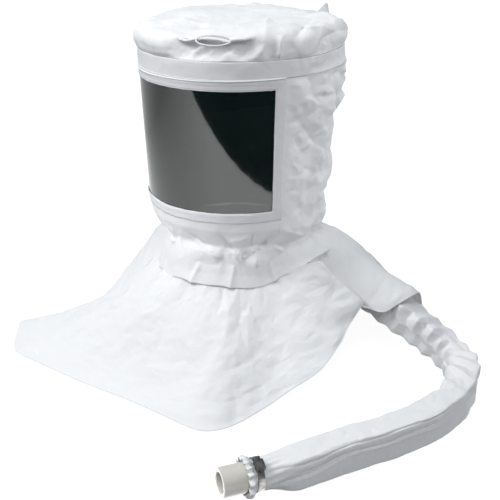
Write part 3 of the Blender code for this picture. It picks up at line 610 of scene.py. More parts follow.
# ------------------------------------------------------------------ studio
@dataclass
class Studio:
    """The camera, the lights and the pale floor."""

    target_pitch: float = 22.2
    azimuth: float = 44.0
    distance: float = 1.47
    height: float = 0.330
    aside: float = 0.024
    lens: float = 68.6
    table_glow: float = 3.5

    def camera(self) -> None:
        """Place the camera."""
        turn = radians(self.azimuth)
        data = bpy.data.cameras.new("camera")
        data.lens = self.lens
        data.clip_start, data.clip_end = 0.01, 50.0
        obj = bpy.data.objects.new("camera", data)
        bpy.context.scene.collection.objects.link(obj)
        obj.location = (
            self.distance * sin(turn) + self.aside * cos(turn),
            -self.distance * cos(turn) + self.aside * sin(turn),
            self.height,
        )
        pitch = radians(self.target_pitch)
        look = Vector((-sin(turn) * cos(pitch), cos(turn) * cos(pitch), -sin(pitch)))
        obj.rotation_euler = look.to_track_quat("-Z", "Y").to_euler()
        bpy.context.scene.camera = obj

    def card(
        self, name: str, place: Sequence[float], size: Sequence[float], power: float,
        aim: Sequence[float] = (0, 0, -0.1)
    ) -> None:
        """One soft light that faces a point."""
        data = bpy.data.lights.new(name, "AREA")
        data.shape = "RECTANGLE"
        data.size, data.size_y = size
        data.energy = power
        obj = bpy.data.objects.new(name, data)
        bpy.context.scene.collection.objects.link(obj)
        obj.location = place
        obj.rotation_euler = (Vector(aim) - Vector(place)).to_track_quat("-Z", "Y").to_euler()
        obj.visible_glossy = False

    def spot(
        self, name: str, place: Sequence[float], power: float, cone: float, aim: Sequence[float]
    ) -> None:
        """One light with a soft-edged cone, in degrees, that faces a point."""
        data = bpy.data.lights.new(name, "SPOT")
        data.energy, data.spot_size, data.spot_blend, data.shadow_soft_size = power, radians(cone), 0.8, 0.10
        obj = bpy.data.objects.new(name, data)
        bpy.context.scene.collection.objects.link(obj)
        obj.location = place
        obj.rotation_euler = (Vector(aim) - Vector(place)).to_track_quat("-Z", "Y").to_euler()
        obj.visible_glossy = False

    def lights(self) -> None:
        """A large soft light above and weaker ones on the left and in front."""
        self.card("key", (-0.75, -1.6, 1.55), (0.7, 0.7), 33.0)
        self.card("right_fill", (1.35, -1.35, 1.75), (0.6, 0.6), 10.0)
        self.spot("hood_side", (1.30, 0.92, 0.42), 30.0, 22.0, (0.08, 0.0, -0.06))
        self.spot("chin_fill", (-0.10, -0.95, -0.395), 11.0, 24.0, (0.02, -0.14, -0.185))
        world = bpy.data.worlds.new("studio")
        bpy.context.scene.world = world
        world.use_nodes = True
        world.node_tree.nodes["Background"].inputs["Color"].default_value = (0.93, 0.965, 1.0, 1)
        world.node_tree.nodes["Background"].inputs["Strength"].default_value = 0.53

    def stage_piece(
        self, name: str, corners: Sequence[Sequence[float]], colour: Sequence[float], glow: float
    ):
        """A flat stage piece that is no part of the object.

        Returns:
            The object.
        """
        mesh = bpy.data.meshes.new(name)
        mesh.from_pydata(corners, [], [tuple(range(len(corners)))])
        obj = bpy.data.objects.new(name, mesh)
        bpy.context.scene.collection.objects.link(obj)
        material = bpy.data.materials.new(name)
        material.use_nodes = True
        shader = material.node_tree.nodes["Principled BSDF"]
        shader.inputs["Base Color"].default_value = (*colour, 1)
        shader.inputs["Roughness"].default_value = 0.9
        shader.inputs["Specular IOR Level"].default_value = 0.0
        shader.inputs["Emission Color"].default_value = (1, 1, 1, 1)
        shader.inputs["Emission Strength"].default_value = glow
        mesh.materials.append(material)
        return obj

    def floor(self) -> None:
        """The pale floor, and the table top and dark room that the visor mirrors."""
        low = REST_PLANE - 0.0006
        reach = 30.0
        floor = self.stage_piece(
            "floor",
            [(-reach, -reach, low), (reach, -reach, low), (reach, reach, low), (-reach, reach, low)],
            (0.30, 0.30, 0.30), 0.93
        )
        floor.visible_glossy = floor.visible_diffuse = False
        rim = [
            (-4.0, -4.4), (-0.35, -1.80), (-0.124, -1.620), (0.141, -1.428), (0.379, -1.220),
            (0.571, -0.993), (0.720, -0.735), (0.817, -0.469), (0.850, -0.216), (0.835, 0.045), (0.78, 1.6),
            (-4.0, 1.6)
        ]
        edge = [(x, y, low) for x, y in rim]
        table = self.stage_piece("table_glint", edge, (0.0, 0.0, 0.0), self.table_glow)
        room = self.stage_piece(
            "dark_room",
            [(-20, -20, low - 0.02), (20, -20, low - 0.02), (20, 20, low - 0.02), (-20, 20, low - 0.02)],
            (0.004, 0.006, 0.006), 0.0
        )
        shade = self.stage_piece(
            "table_shade",
            [(-9, -9, low - 0.01), (9, -9, low - 0.01), (9, 9, low - 0.01), (-9, 9, low - 0.01)],
            (0.04, 0.04, 0.04), 0.0
        )
        shade.visible_camera = shade.visible_glossy = shade.visible_transmission = False
        for obj in (table, room):
            obj.visible_camera = obj.visible_diffuse = obj.visible_shadow = obj.visible_transmission = False
        # The mirrored table fades towards its far left, which the film shows at a glancing angle.
        tree = NodeTree(table.active_material.node_tree)
        place, split, fade = tree.add("ShaderNodeTexCoord"), tree.add(
            "ShaderNodeSeparateXYZ"
        ), tree.add("ShaderNodeMapRange")
        fade.inputs["From Min"].default_value, fade.inputs["From Max"].default_value = -1.3, 0.35
        fade.inputs["To Min"].default_value, fade.inputs[
            "To Max"
        ].default_value = 0.25 * self.table_glow, self.table_glow
        tree.link(place.outputs["Object"], split.inputs[0])
        tree.link(split.outputs["X"], fade.inputs["Value"])
        tree.link(fade.outputs["Result"], tree.tree.nodes["Principled BSDF"].inputs["Emission Strength"])

    def build(self) -> None:
        """Set the whole stage."""
        self.camera()
        self.lights()
        self.floor()
        scene = bpy.context.scene
        scene.view_settings.view_transform = "Standard"


# ------------------------------------------------------------------ hood
@dataclass
class Hood:
    """The hood from its crown to its neck skirt, as panels cut from one creased wall."""

    shop: Workshop
    stitches: bpy.types.NodeTree
    grid: float = 0.0022
    film_thick: float = 0.0008
    lens_angle: float = 68.8
    border_angle: float = 6.0
    lens_low: float = -0.157
    lens_high: float = 0.031
    border: float = 0.015
    border_left: float = 0.0090
    band_top: float = 0.0715
    neck: float = -0.225
    skirt_low: float = -0.281
    side_end: float = 150.0

    def __post_init__(self) -> None:
        """Set out the wall's radii and its fields of creases."""
        self.turns = np.array([0.0, 68.8, 90.0, 134.0, 180.0])
        self.heights = np.array(
            [
                -0.281, -0.262, -0.225, -0.219, -0.208, -0.187, -0.160, -0.140, -0.094, -0.073, -0.034,
                -0.012, 0.016, 0.065, 0.072
            ]
        )
        self.radii = np.array([
            [0.1265, 0.1265, 0.126, 0.124, 0.122],
            [0.1215, 0.1215, 0.121, 0.119, 0.117],
            [0.1165, 0.1170, 0.118, 0.119, 0.117],
            [0.1180, 0.1190, 0.122, 0.124, 0.120],
            [0.1225, 0.1270, 0.138, 0.142, 0.131],
            [0.1330, 0.1350, 0.143, 0.146, 0.138],
            [0.1390, 0.1390, 0.141, 0.144, 0.140],
            [0.1400, 0.1400, 0.143, 0.147, 0.145],
            [0.1418, 0.1418, 0.144, 0.148, 0.150],
            [0.1427, 0.1427, 0.145, 0.149, 0.153],
            [0.1443, 0.1443, 0.146, 0.159, 0.162],
            [0.1452, 0.1452, 0.148, 0.167, 0.168],
            [0.1464, 0.1464, 0.150, 0.171, 0.172],
            [0.1470, 0.1474, 0.152, 0.169, 0.171],
            [0.1464, 0.1470, 0.152, 0.168, 0.170],
        ])
        low, high = (-0.50, -0.31), (0.50, 0.10)
        self.large = Creases(SEED, 0.044, low, high, (1.0, 1.25))
        self.middle = Creases(SEED + 1, 0.019, low, high)
        self.small = Creases(SEED + 2, 0.0085, low, high)

    def radius(self, angle: np.ndarray, height: np.ndarray) -> np.ndarray:
        """The wall's smooth radius; angle in degrees from straight ahead."""
        turn = np.abs((angle + 180) % 360 - 180)
        columns = [np.interp(height, self.heights, column) for column in self.radii.T]
        place = np.interp(turn, self.turns, np.arange(5.0))
        index = np.clip(place.astype(int), 0, 3)
        share = place - index
        share = share * share * (3 - 2 * share)
        stack = np.stack(columns)
        lower = np.take_along_axis(stack, index[None], 0)[0]
        upper = np.take_along_axis(stack, index[None] + 1, 0)[0]
        return lower + (upper - lower) * share

    def relief(self, angle: np.ndarray, height: np.ndarray) -> np.ndarray:
        """How far creases push the wall out."""
        arc = np.radians(angle) * 0.145
        turn = np.abs((angle + 180) % 360 - 180)
        beside = step(self.lens_angle + 3, self.lens_angle + 15, turn)
        window = (1 - beside) * step(self.lens_low - 0.034, self.lens_low - 0.014, height)
        collar = hump(-0.232, 0.030, height)
        loose = np.clip(beside * 0.9 + (1 - beside) * collar * 0.9, 0, 1) * (1 - 0.85 * window)
        top_band = step(0.034, 0.044, height)
        loose = loose * (1 - 0.6 * top_band) + 0.10 * window
        large = self.large.at(arc, height)
        middle, small = self.middle.at(arc, height), self.small.at(arc, height)
        base = 0.0068 * large * loose
        fine = 0.0050 * middle * loose + 0.0019 * small * (0.12 + 0.88 * loose)
        for fold in self.folds():
            base = base + fold.at(arc, height)
        gathered = 1 - step(-0.226, -0.214, height)
        return (base + fine) * (1 - gathered) + (1.3 * np.abs(base) + 0.35 * fine + 0.0006) * gathered

    def folds(self) -> list[Fold]:
        """The larger gathers at the chin and the neck."""
        at = lambda turn: radians(turn) * 0.145
        return [
            Fold((at(8), -0.196), (at(34), -0.235), -0.0075, 0.0065),
            Fold((at(12), -0.212), (at(30), -0.228), 0.0050, 0.0050),
            Fold((at(34), -0.190), (at(48), -0.238), -0.0070, 0.0060),
            Fold((at(40), -0.205), (at(56), -0.196), 0.0045, 0.0050),
            Fold((at(56), -0.192), (at(60), -0.246), -0.0075, 0.0065),
            Fold((at(48), -0.236), (at(64), -0.222), 0.0060, 0.0055),
            Fold((at(66), -0.205), (at(84), -0.240), -0.0060, 0.0070),
            Fold((at(74), -0.186), (at(96), -0.214), 0.0050, 0.0060),
            Fold((at(-30), -0.200), (at(-6), -0.226), -0.0060, 0.0080),
            Fold((at(-52), -0.198), (at(-34), -0.232), -0.0050, 0.0070),
            Fold((at(18), -0.246), (at(10), -0.290), 0.0035, 0.0060),
            Fold((at(44), -0.244), (at(40), -0.290), 0.0040, 0.0060),
            Fold((at(70), -0.244), (at(74), -0.290), 0.0045, 0.0060),
            Fold((at(-22), -0.240), (at(-28), -0.290), 0.0035, 0.0070),
            Fold((at(96), -0.120), (at(112), -0.030), 0.0045, 0.0080),
            Fold((at(84), -0.020), (at(108), -0.080), -0.0040, 0.0060),
            Fold((at(112), 0.020), (at(132), -0.040), -0.0055, 0.0070),
            Fold((at(88), 0.045), (at(140), 0.050), 0.0030, 0.0040),
        ]

    def wall(
        self, start: float, end: float, low: float, high: float, lift: float = 0.0, relief: float = 1.0
    ) -> np.ndarray:
        """A grid of points on the wall.

        Returns:
            An array of rows, columns and three coordinates.
        """
        columns = int(radians(end - start) * 0.145 / self.grid) + 2
        rows = int((high - low) / self.grid) + 2
        angle, height = np.meshgrid(np.linspace(start, end, columns), np.linspace(low, high, rows))
        radius = self.radius(angle, height) + lift
        if relief:
            radius = radius + relief * self.relief(angle, height)
        radius = np.maximum(radius, 0.1125)
        turn = np.radians(angle)
        return np.stack([radius * np.sin(turn), -radius * np.cos(turn), height], axis=2)

    def line(self, start: float, end: float, low: float, high: float, lift: float) -> np.ndarray:
        """Points along a line on the wall."""
        count = 160
        angle, height = np.linspace(start, end, count), np.linspace(low, high, count)
        radius = self.radius(angle, height) + lift + self.relief(angle, height)
        turn = np.radians(angle)
        return np.stack([radius * np.sin(turn), -radius * np.cos(turn), height], axis=1)

    def panel(
        self, name: str, points: np.ndarray, slot: Slot, replaces: Sequence[str]
    ) -> None:
        """One sewn panel, made as a sheet of cloth."""
        obj = self.shop.cloth(name, points, slot)
        finish_piece(obj, slot, replaces=replaces)

    def window(self) -> None:
        """The border round the visor, its film, its piped hem and its stitches."""
        outer = self.lens_angle + self.border_angle
        low, high = self.lens_low - self.border, self.lens_high + self.border
        columns = int(radians(2 * outer) * 0.145 / self.grid) + 2
        angles = np.unique(
            np.concatenate([np.linspace(-outer, outer, columns), [-self.lens_angle, self.lens_angle]])
        )
        heights = np.unique(
            np.concatenate([np.arange(low, high, self.grid), [high, self.lens_low, self.lens_high]])
        )
        angle, height = np.meshgrid(angles, heights)
        radius = self.radius(angle, height) + self.relief(angle, height) + 0.0006
        raised = np.maximum(
            hump(self.lens_high + 0.0115, 0.0016, height), hump(self.lens_high + 0.0150, 0.0016, height)
        )
        radius = radius + 0.0012 * raised - 0.0010 * hump(self.lens_high + 0.0130, 0.0012, height)
        beyond = np.maximum.reduce(
            [height - self.lens_high, self.lens_low - height, (np.abs(angle) - self.lens_angle) * 0.0025]
        )
        radius = radius - 0.0008 * hump(0.0045, 0.0011, beyond)
        turn = np.radians(angle)
        points = np.stack([radius * np.sin(turn), -radius * np.cos(turn), height], axis=2)
        inside = lambda a, h: abs(
            a
        ) < self.lens_angle - 1e-6 and self.lens_low + 1e-6 < h < self.lens_high - 1e-6
        width = len(angles)
        faces = [
            face for face in grid_faces(len(heights), width)
            if not inside(
                (angles[face[0] % width] + angles[face[1] % width]) / 2,
                (heights[face[0] // width] + heights[face[3] // width]) / 2
            )
        ]
        used = np.unique(np.array(faces))
        number = {old: new for new, old in enumerate(used.tolist())}
        border = self.shop.piece(
            "visor_border", points.reshape(-1, 3)[used], [tuple(number[v] for v in face) for face in faces],
            Slot.BINDING
        )
        solid = border.modifiers.new("thickness", "SOLIDIFY")
        solid.thickness, solid.offset = 0.0011, 0.0
        finish_piece(border, Slot.BINDING, replaces=["window_frame"])

        lap = degrees(0.003 / 0.14)
        angle, height = np.meshgrid(
            np.linspace(-self.lens_angle - lap, self.lens_angle + lap, 180),
            np.linspace(self.lens_low - 0.002, self.lens_high + 0.003, 60)
        )
        edge = [self.radius(angle, np.full(angle.shape, level)) for level in (self.lens_low, self.lens_high)]
        share = (height - self.lens_low) / (self.lens_high - self.lens_low)
        radius = edge[0] * (1 - share) + edge[1] * share - 0.0009
        turn = np.radians(angle)
        film = self.shop.cloth(
            "visor_film", np.stack([radius * np.sin(turn), -radius * np.cos(turn), height], axis=2),
            Slot.VISOR, self.film_thick
        )
        finish_piece(film, Slot.VISOR, replaces=["visor_lens"])

        a, inset = self.lens_angle, 0.0045
        side = degrees(inset / 0.14)
        lines = [
            self.line(-a - side, a + side, self.lens_high + inset, self.lens_high + inset, 0.0016),
            self.line(
                -a - side, a + side, self.lens_high + inset + 0.004, self.lens_high + inset + 0.004, 0.0016
            ),
            self.line(-a - side, a + side, self.lens_low - inset, self.lens_low - inset, 0.0016),
            self.line(a + side, a + side, self.lens_low - inset, self.lens_high + inset, 0.0016),
            self.line(-a - side, -a - side, self.lens_low - inset, self.lens_high + inset, 0.0016),
            self.line(-a - 5, 150, self.band_top - 0.004, self.band_top - 0.004, 0.0006),
            self.line(
                -a - 5, a + 5, self.lens_low - self.border + 0.002, self.lens_low - self.border + 0.002,
                0.0016
            ),
        ]
        sewn = along_lines(
            "window_stitches", lines, self.stitches,
            {"Pitch": 0.0034, "Stitch Length": 0.0024, "Thread Radius": 0.00030}
        )
        finish_piece(sewn, Slot.BINDING)
        piping = [
            self.line(
                -a - 5, a + 5, self.lens_high + self.border_left, self.lens_high + self.border - 0.0005,
                0.0016
            )
        ]
        self.tubes("visor_piping", piping, 0.0012, Slot.FABRIC)
        corner = 0.0008
        rims = [
            self.line(-a, a, self.lens_high - corner, self.lens_high - corner, 0.0004),
            self.line(-a, a, self.lens_low + corner, self.lens_low + corner, 0.0004),
            self.line(a - 0.3, a - 0.3, self.lens_low, self.lens_high, 0.0004),
            self.line(-a + 0.3, -a + 0.3, self.lens_low, self.lens_high, 0.0004),
        ]
        self.tubes("visor_rim", rims, 0.0008, Slot.FABRIC)
        self.corner_tapes()

    def tubes(self, name: str, lines: Sequence[np.ndarray], radius: float, slot: Slot) -> None:
        """Thin rolled edges along lines."""
        turn = np.linspace(0, 2 * pi, 8, endpoint=False)
        points, faces = [], []
        for line in lines:
            along = np.gradient(line, axis=0)
            along /= np.linalg.norm(along, axis=1, keepdims=True)
            out = line * [1, 1, 0]
            out /= np.maximum(np.linalg.norm(out, axis=1, keepdims=True), 1e-9)
            side = np.cross(along, out)
            side /= np.maximum(np.linalg.norm(side, axis=1, keepdims=True), 1e-9)
            out = np.cross(side, along)
            ring = line[:, None] + radius * (
                out[:, None] * np.cos(turn)[None, :, None] + side[:, None] * np.sin(turn)[None, :, None]
            )
            base = sum(len(p) for p in points)
            points.append(ring.reshape(-1, 3))
            faces += [tuple(base + i for i in face) for face in grid_faces(len(line), 8, True)]
            faces += [
                tuple(base + i for i in range(8)), tuple(base + (len(line) - 1) * 8 + i for i in range(8))
            ]
        finish_piece(self.shop.piece(name, np.vstack(points), faces, slot), slot)

    def corner_tapes(self) -> None:
        """Short white tabs that hold the film at its corners."""
        points, faces = [], []
        rng = np.random.default_rng(SEED)
        for turn, height in (
            (self.lens_angle, self.lens_high), (self.lens_angle, self.lens_low),
            (-self.lens_angle, self.lens_high), (12.0, self.lens_high),
            (self.lens_angle - 3, self.lens_low), (self.lens_angle - 2.5, self.lens_high)
        ):
            base = len(points)
            spread = rng.uniform(0.0022, 0.0034)
            for da, dh in ((-1, -1), (1, -0.6), (0.8, 1), (-0.7, 0.8)):
                angle = turn + degrees(da * spread / 0.14)
                level = height + dh * spread * 0.7
                radius = float(self.radius(np.array(angle), np.array(level))) + 0.0004
                points.append((radius * sin(radians(angle)), -radius * cos(radians(angle)), level))
            faces.append((base, base + 1, base + 2, base + 3))
        tapes = self.shop.piece("corner_tapes", np.array(points), faces, Slot.FABRIC)
        solid = tapes.modifiers.new("thickness", "SOLIDIFY")
        solid.thickness, solid.offset = 0.0006, 1.0
        finish_piece(tapes, Slot.FABRIC)

    def panels(self) -> None:
        """The panels between the crown and the neck, and the skirt."""
        outer = self.lens_angle + self.border_angle
        above, below = self.lens_high + self.border - 0.001, self.lens_low - self.border + 0.002
        band = self.wall(-outer, self.side_end, above, self.band_top, 0.0009)
        angle = np.linspace(-outer, self.side_end, band.shape[1])[None]
        foot = self.lens_high + np.interp(angle, [-outer, outer], [self.border_left, self.border - 0.0005])
        band[..., 2] = self.band_top - (
            self.band_top - band[..., 2]
        ) * (self.band_top - foot) / (self.band_top - above)
        self.panel("forehead_cloth", band, Slot.BINDING, ["forehead_band"])
        self.panel(
            "chin_cloth", self.wall(-outer, outer, self.neck, below, 0.0), Slot.FABRIC,
            ["chin_panel"]
        )
        self.panel(
            "left_side_cloth", self.wall(outer - 1.2, self.side_end, self.neck, above + 0.001, 0.0),
            Slot.FABRIC, ["left_side_panel"]
        )
        self.panel(
            "right_side_cloth", self.wall(-self.side_end, -outer + 1.2, self.neck, self.band_top, 0.0),
            Slot.FABRIC, ["right_side_panel"]
        )
        self.panel(
            "back_cloth",
            self.wall(self.side_end - 0.6, 360 - self.side_end + 0.6, self.neck, self.band_top, 0.0),
            Slot.FABRIC, ["back_panel"]
        )
        skirt = self.wall(-112, 112, self.skirt_low, self.neck + 0.0012, 0.0)
        angle = np.linspace(-112, 112, skirt.shape[1])[None]
        share = np.linspace(1, 0, skirt.shape[0])[:, None]
        rise = 0.0018 * np.sin(angle * 0.075) + 0.0012 * np.sin(angle * 0.19 + 1.0) + 0.038 * step(
            64, 100, np.abs(angle)
        )
        skirt[..., 2] += rise * share
        skirt[..., :2] *= 1 + (
            (0.24 + 0.06 * (angle < 0)) * step(70, 102, np.abs(angle)) * share**1.3
        )[..., None]
        self.panel("skirt_cloth", skirt, Slot.FABRIC, ["neck_skirt"])

    def crown(self) -> None:
        """The soft crown over the air outlet, with its upright corner behind."""
        lobe = [
            (1.0, 0.0), (1.002, 0.004), (1.012, 0.011), (1.022, 0.0175), (1.010, 0.0250), (0.960, 0.0315),
            (0.88, 0.0355), (0.60, 0.0385), (0.30, 0.0408), (0.012, 0.041)
        ]
        arch = [
            (1.0, 0.0), (0.985, 0.003), (0.950, 0.009), (0.930, 0.0180), (0.940, 0.0250), (0.996, 0.0285),
            (0.985, 0.0320), (0.90, 0.0362), (0.60, 0.0395), (0.30, 0.0408), (0.012, 0.041)
        ]
        plain = [
            (1.0, 0.0), (1.002, 0.010), (1.001, 0.020), (0.994, 0.0280), (0.968, 0.0340), (0.92, 0.0378),
            (0.82, 0.0396), (0.55, 0.0406), (0.30, 0.0410), (0.012, 0.041)
        ]
        round_off = [
            (1.0, 0.0), (1.002, 0.008), (1.002, 0.016), (0.990, 0.0245), (0.950, 0.0315), (0.87, 0.0365),
            (0.70, 0.0395), (0.50, 0.0405), (0.30, 0.0409), (0.012, 0.041)
        ]
        rows, columns = 120, 440
        share = np.linspace(0, 1, rows)
        shapes = (
            curve_through([(r * 0.149, u) for r, u in table], rows) / [0.149, 1.0]
            for table in (lobe, arch, plain, round_off)
        )
        lobe, arch, plain, round_off = shapes
        angle = np.linspace(-180, 180, columns, endpoint=False)
        over = (step(-120, -90, angle) * (1 - step(1, 21, angle)))[None, :]
        under = (step(1, 21, angle) * (1 - step(46, 62, angle)))[None, :]
        behind = step(96, 128, np.abs(angle))[None, :] * (1 - over - under)
        rest = 1 - over - under - behind
        out = lobe[:, 0:1] * over + arch[:, 0:1] * under + plain[:, 0:1] * rest + round_off[:, 0:1] * behind
        up = lobe[:, 1:2] * over + arch[:, 1:2] * under + plain[:, 1:2] * rest + round_off[:, 1:2] * behind
        edge = self.radius(angle, np.full(columns, self.band_top))[None, :]
        turn = np.radians(angle)[None, :]
        radius = edge * out
        x, y = radius * np.sin(turn), -radius * np.cos(turn)
        points = np.stack([x, y, self.band_top + up], axis=2)
        normal = normals_of(np.concatenate([points[:, -1:], points, points[:, :1]], axis=1))[:, 1:-1]
        normal *= np.sign((normal * (points - [0, 0, -0.2])).sum(axis=2, keepdims=True))
        low, high = (-0.20, -0.20), (0.20, 0.20)
        large, middle, small = (
            Creases(SEED + 5 + i, size, low, high) for i, size in enumerate((0.060, 0.026, 0.011))
        )
        # Distances along the cloth from the centre keep the facets' size down the sides.
        run = np.concatenate(
            [[0.0], np.cumsum(np.hypot(np.diff(plain[::-1, 0] * 0.15), np.diff(plain[::-1, 1])))]
        )[::-1][:, None]
        u, v = run * np.sin(turn), -run * np.cos(turn)
        seam = step(-0.02, 0.04, share)[:, None]
        crushed = 1 + 0.9 * step(
            70, 95, np.abs(angle)
        )[None, :] * hump(0.14, 0.16, share)[:, None] + 0.7 * under * hump(0.10, 0.08, share)[:, None]
        relief = 0.0044 * soften(large.at(u, v), 1) + (
            0.0024 * middle.at(u, v) + 0.0009 * small.at(u, v)
        ) * crushed
        for fold in self.crown_folds():
            relief = relief + fold.at(u, v)
        for turn_, height_ in (
            (23.0, 0.0030), (29.0, -0.0030), (44.0, 0.0026), (52.0, -0.0034), (59.0, 0.0030)
        ):
            near = hump(turn_ + 60 * (share[:, None] - 0.08), 2.4, angle[None, :])
            relief = relief + height_ * near * hump(0.075, 0.055, share)[:, None]
        between = 4 * under * (1 - under) * hump(0.13, 0.12, share)[:, None]
        relief = relief * seam * (1 - 0.9 * between)
        rim = self.relief(
            angle, np.full(columns, self.band_top)
        )[None, :] * (1 - step(0.0, 0.10, share))[:, None]
        points = points + normal * relief[..., None]
        points[..., :2] *= 1 + (rim / np.maximum(radius, 0.02))[..., None]
        obj = self.shop.piece(
            "crown_cloth", points,
            [*grid_faces(rows, columns, True), tuple(range((rows - 1) * columns, rows * columns))],
            Slot.FABRIC
        )
        solid = obj.modifiers.new("thickness", "SOLIDIFY")
        solid.thickness, solid.offset = 0.0006, 0.0
        finish_piece(obj, Slot.FABRIC, replaces=["crown_panel"])
        self.corner()
        turn = np.linspace(0, 2 * pi, 49)
        centre, facing = radians(33.5), 0.149 * 0.998
        around = centre + 0.0245 * np.cos(turn) / facing
        ring = np.stack(
            [
                facing * np.sin(around), -facing * np.cos(around),
                self.band_top + 0.0297 + 0.0062 * np.sin(turn)
            ],
            axis=1
        )
        ring[:, :2] *= (1 - 0.035 * np.sin(turn))[:, None]
        self.tubes("outlet_rim", [ring], 0.0011, Slot.FABRIC)

    def corner(self) -> None:
        """The upright corner of cloth that stands at the back of the crown."""
        low, right, tip = np.array([0.0594, 0.0990, 0.104]), np.array([0.0593, 0.1546, 0.088]), np.array(
            [0.0705, 0.1376, 0.1275]
        )
        along, up = np.meshgrid(np.linspace(0, 1, 14), np.linspace(0, 1, 12))
        base = low + (right - low) * along[..., None]
        points = base + (tip - base) * up[..., None]
        curl = 0.0035 * np.sin(along * pi) * (1 - up) + 0.0015 * np.sin(up * 5.0)
        points = points + np.array([1.0, -0.1, -0.2]) * curl[..., None]
        obj = self.shop.cloth("crown_corner", points[:-1], Slot.FABRIC)
        finish_piece(obj, Slot.FABRIC)

    def crown_folds(self) -> list[Fold]:
        """The larger creases of the crown, in distances along the cloth from its centre."""
        return [
            Fold((0.020, -0.168), (0.050, -0.098), -0.0050, 0.010),
            Fold((0.105, -0.140), (0.085, -0.080), -0.0040, 0.009),
            Fold((-0.080, -0.150), (-0.020, -0.070), 0.0045, 0.009),
            Fold((-0.110, -0.110), (-0.050, -0.020), -0.0035, 0.008),
            Fold((0.130, -0.070), (0.060, 0.010), 0.0040, 0.008),
            Fold((0.150, -0.020), (0.090, 0.060), -0.0045, 0.008),
            Fold((0.060, 0.080), (-0.010, 0.010), 0.0035, 0.008),
            Fold((0.135, 0.060), (0.120, -0.060), 0.0050, 0.007),
            Fold((0.167, -0.064), (0.140, -0.048), 0.0065, 0.004),
            Fold((0.150, -0.030), (0.128, 0.010), -0.0050, 0.006),
            Fold((0.140, -0.010), (0.140, 0.060), 0.0050, 0.006),
            Fold((0.160, 0.020), (0.110, 0.120), -0.0050, 0.008),
            Fold((0.120, 0.130), (0.080, 0.060), 0.0060, 0.008),
        ]

    def build(self) -> None:
        """Make every piece of the hood."""
        self.window()
        self.panels()
        self.crown()


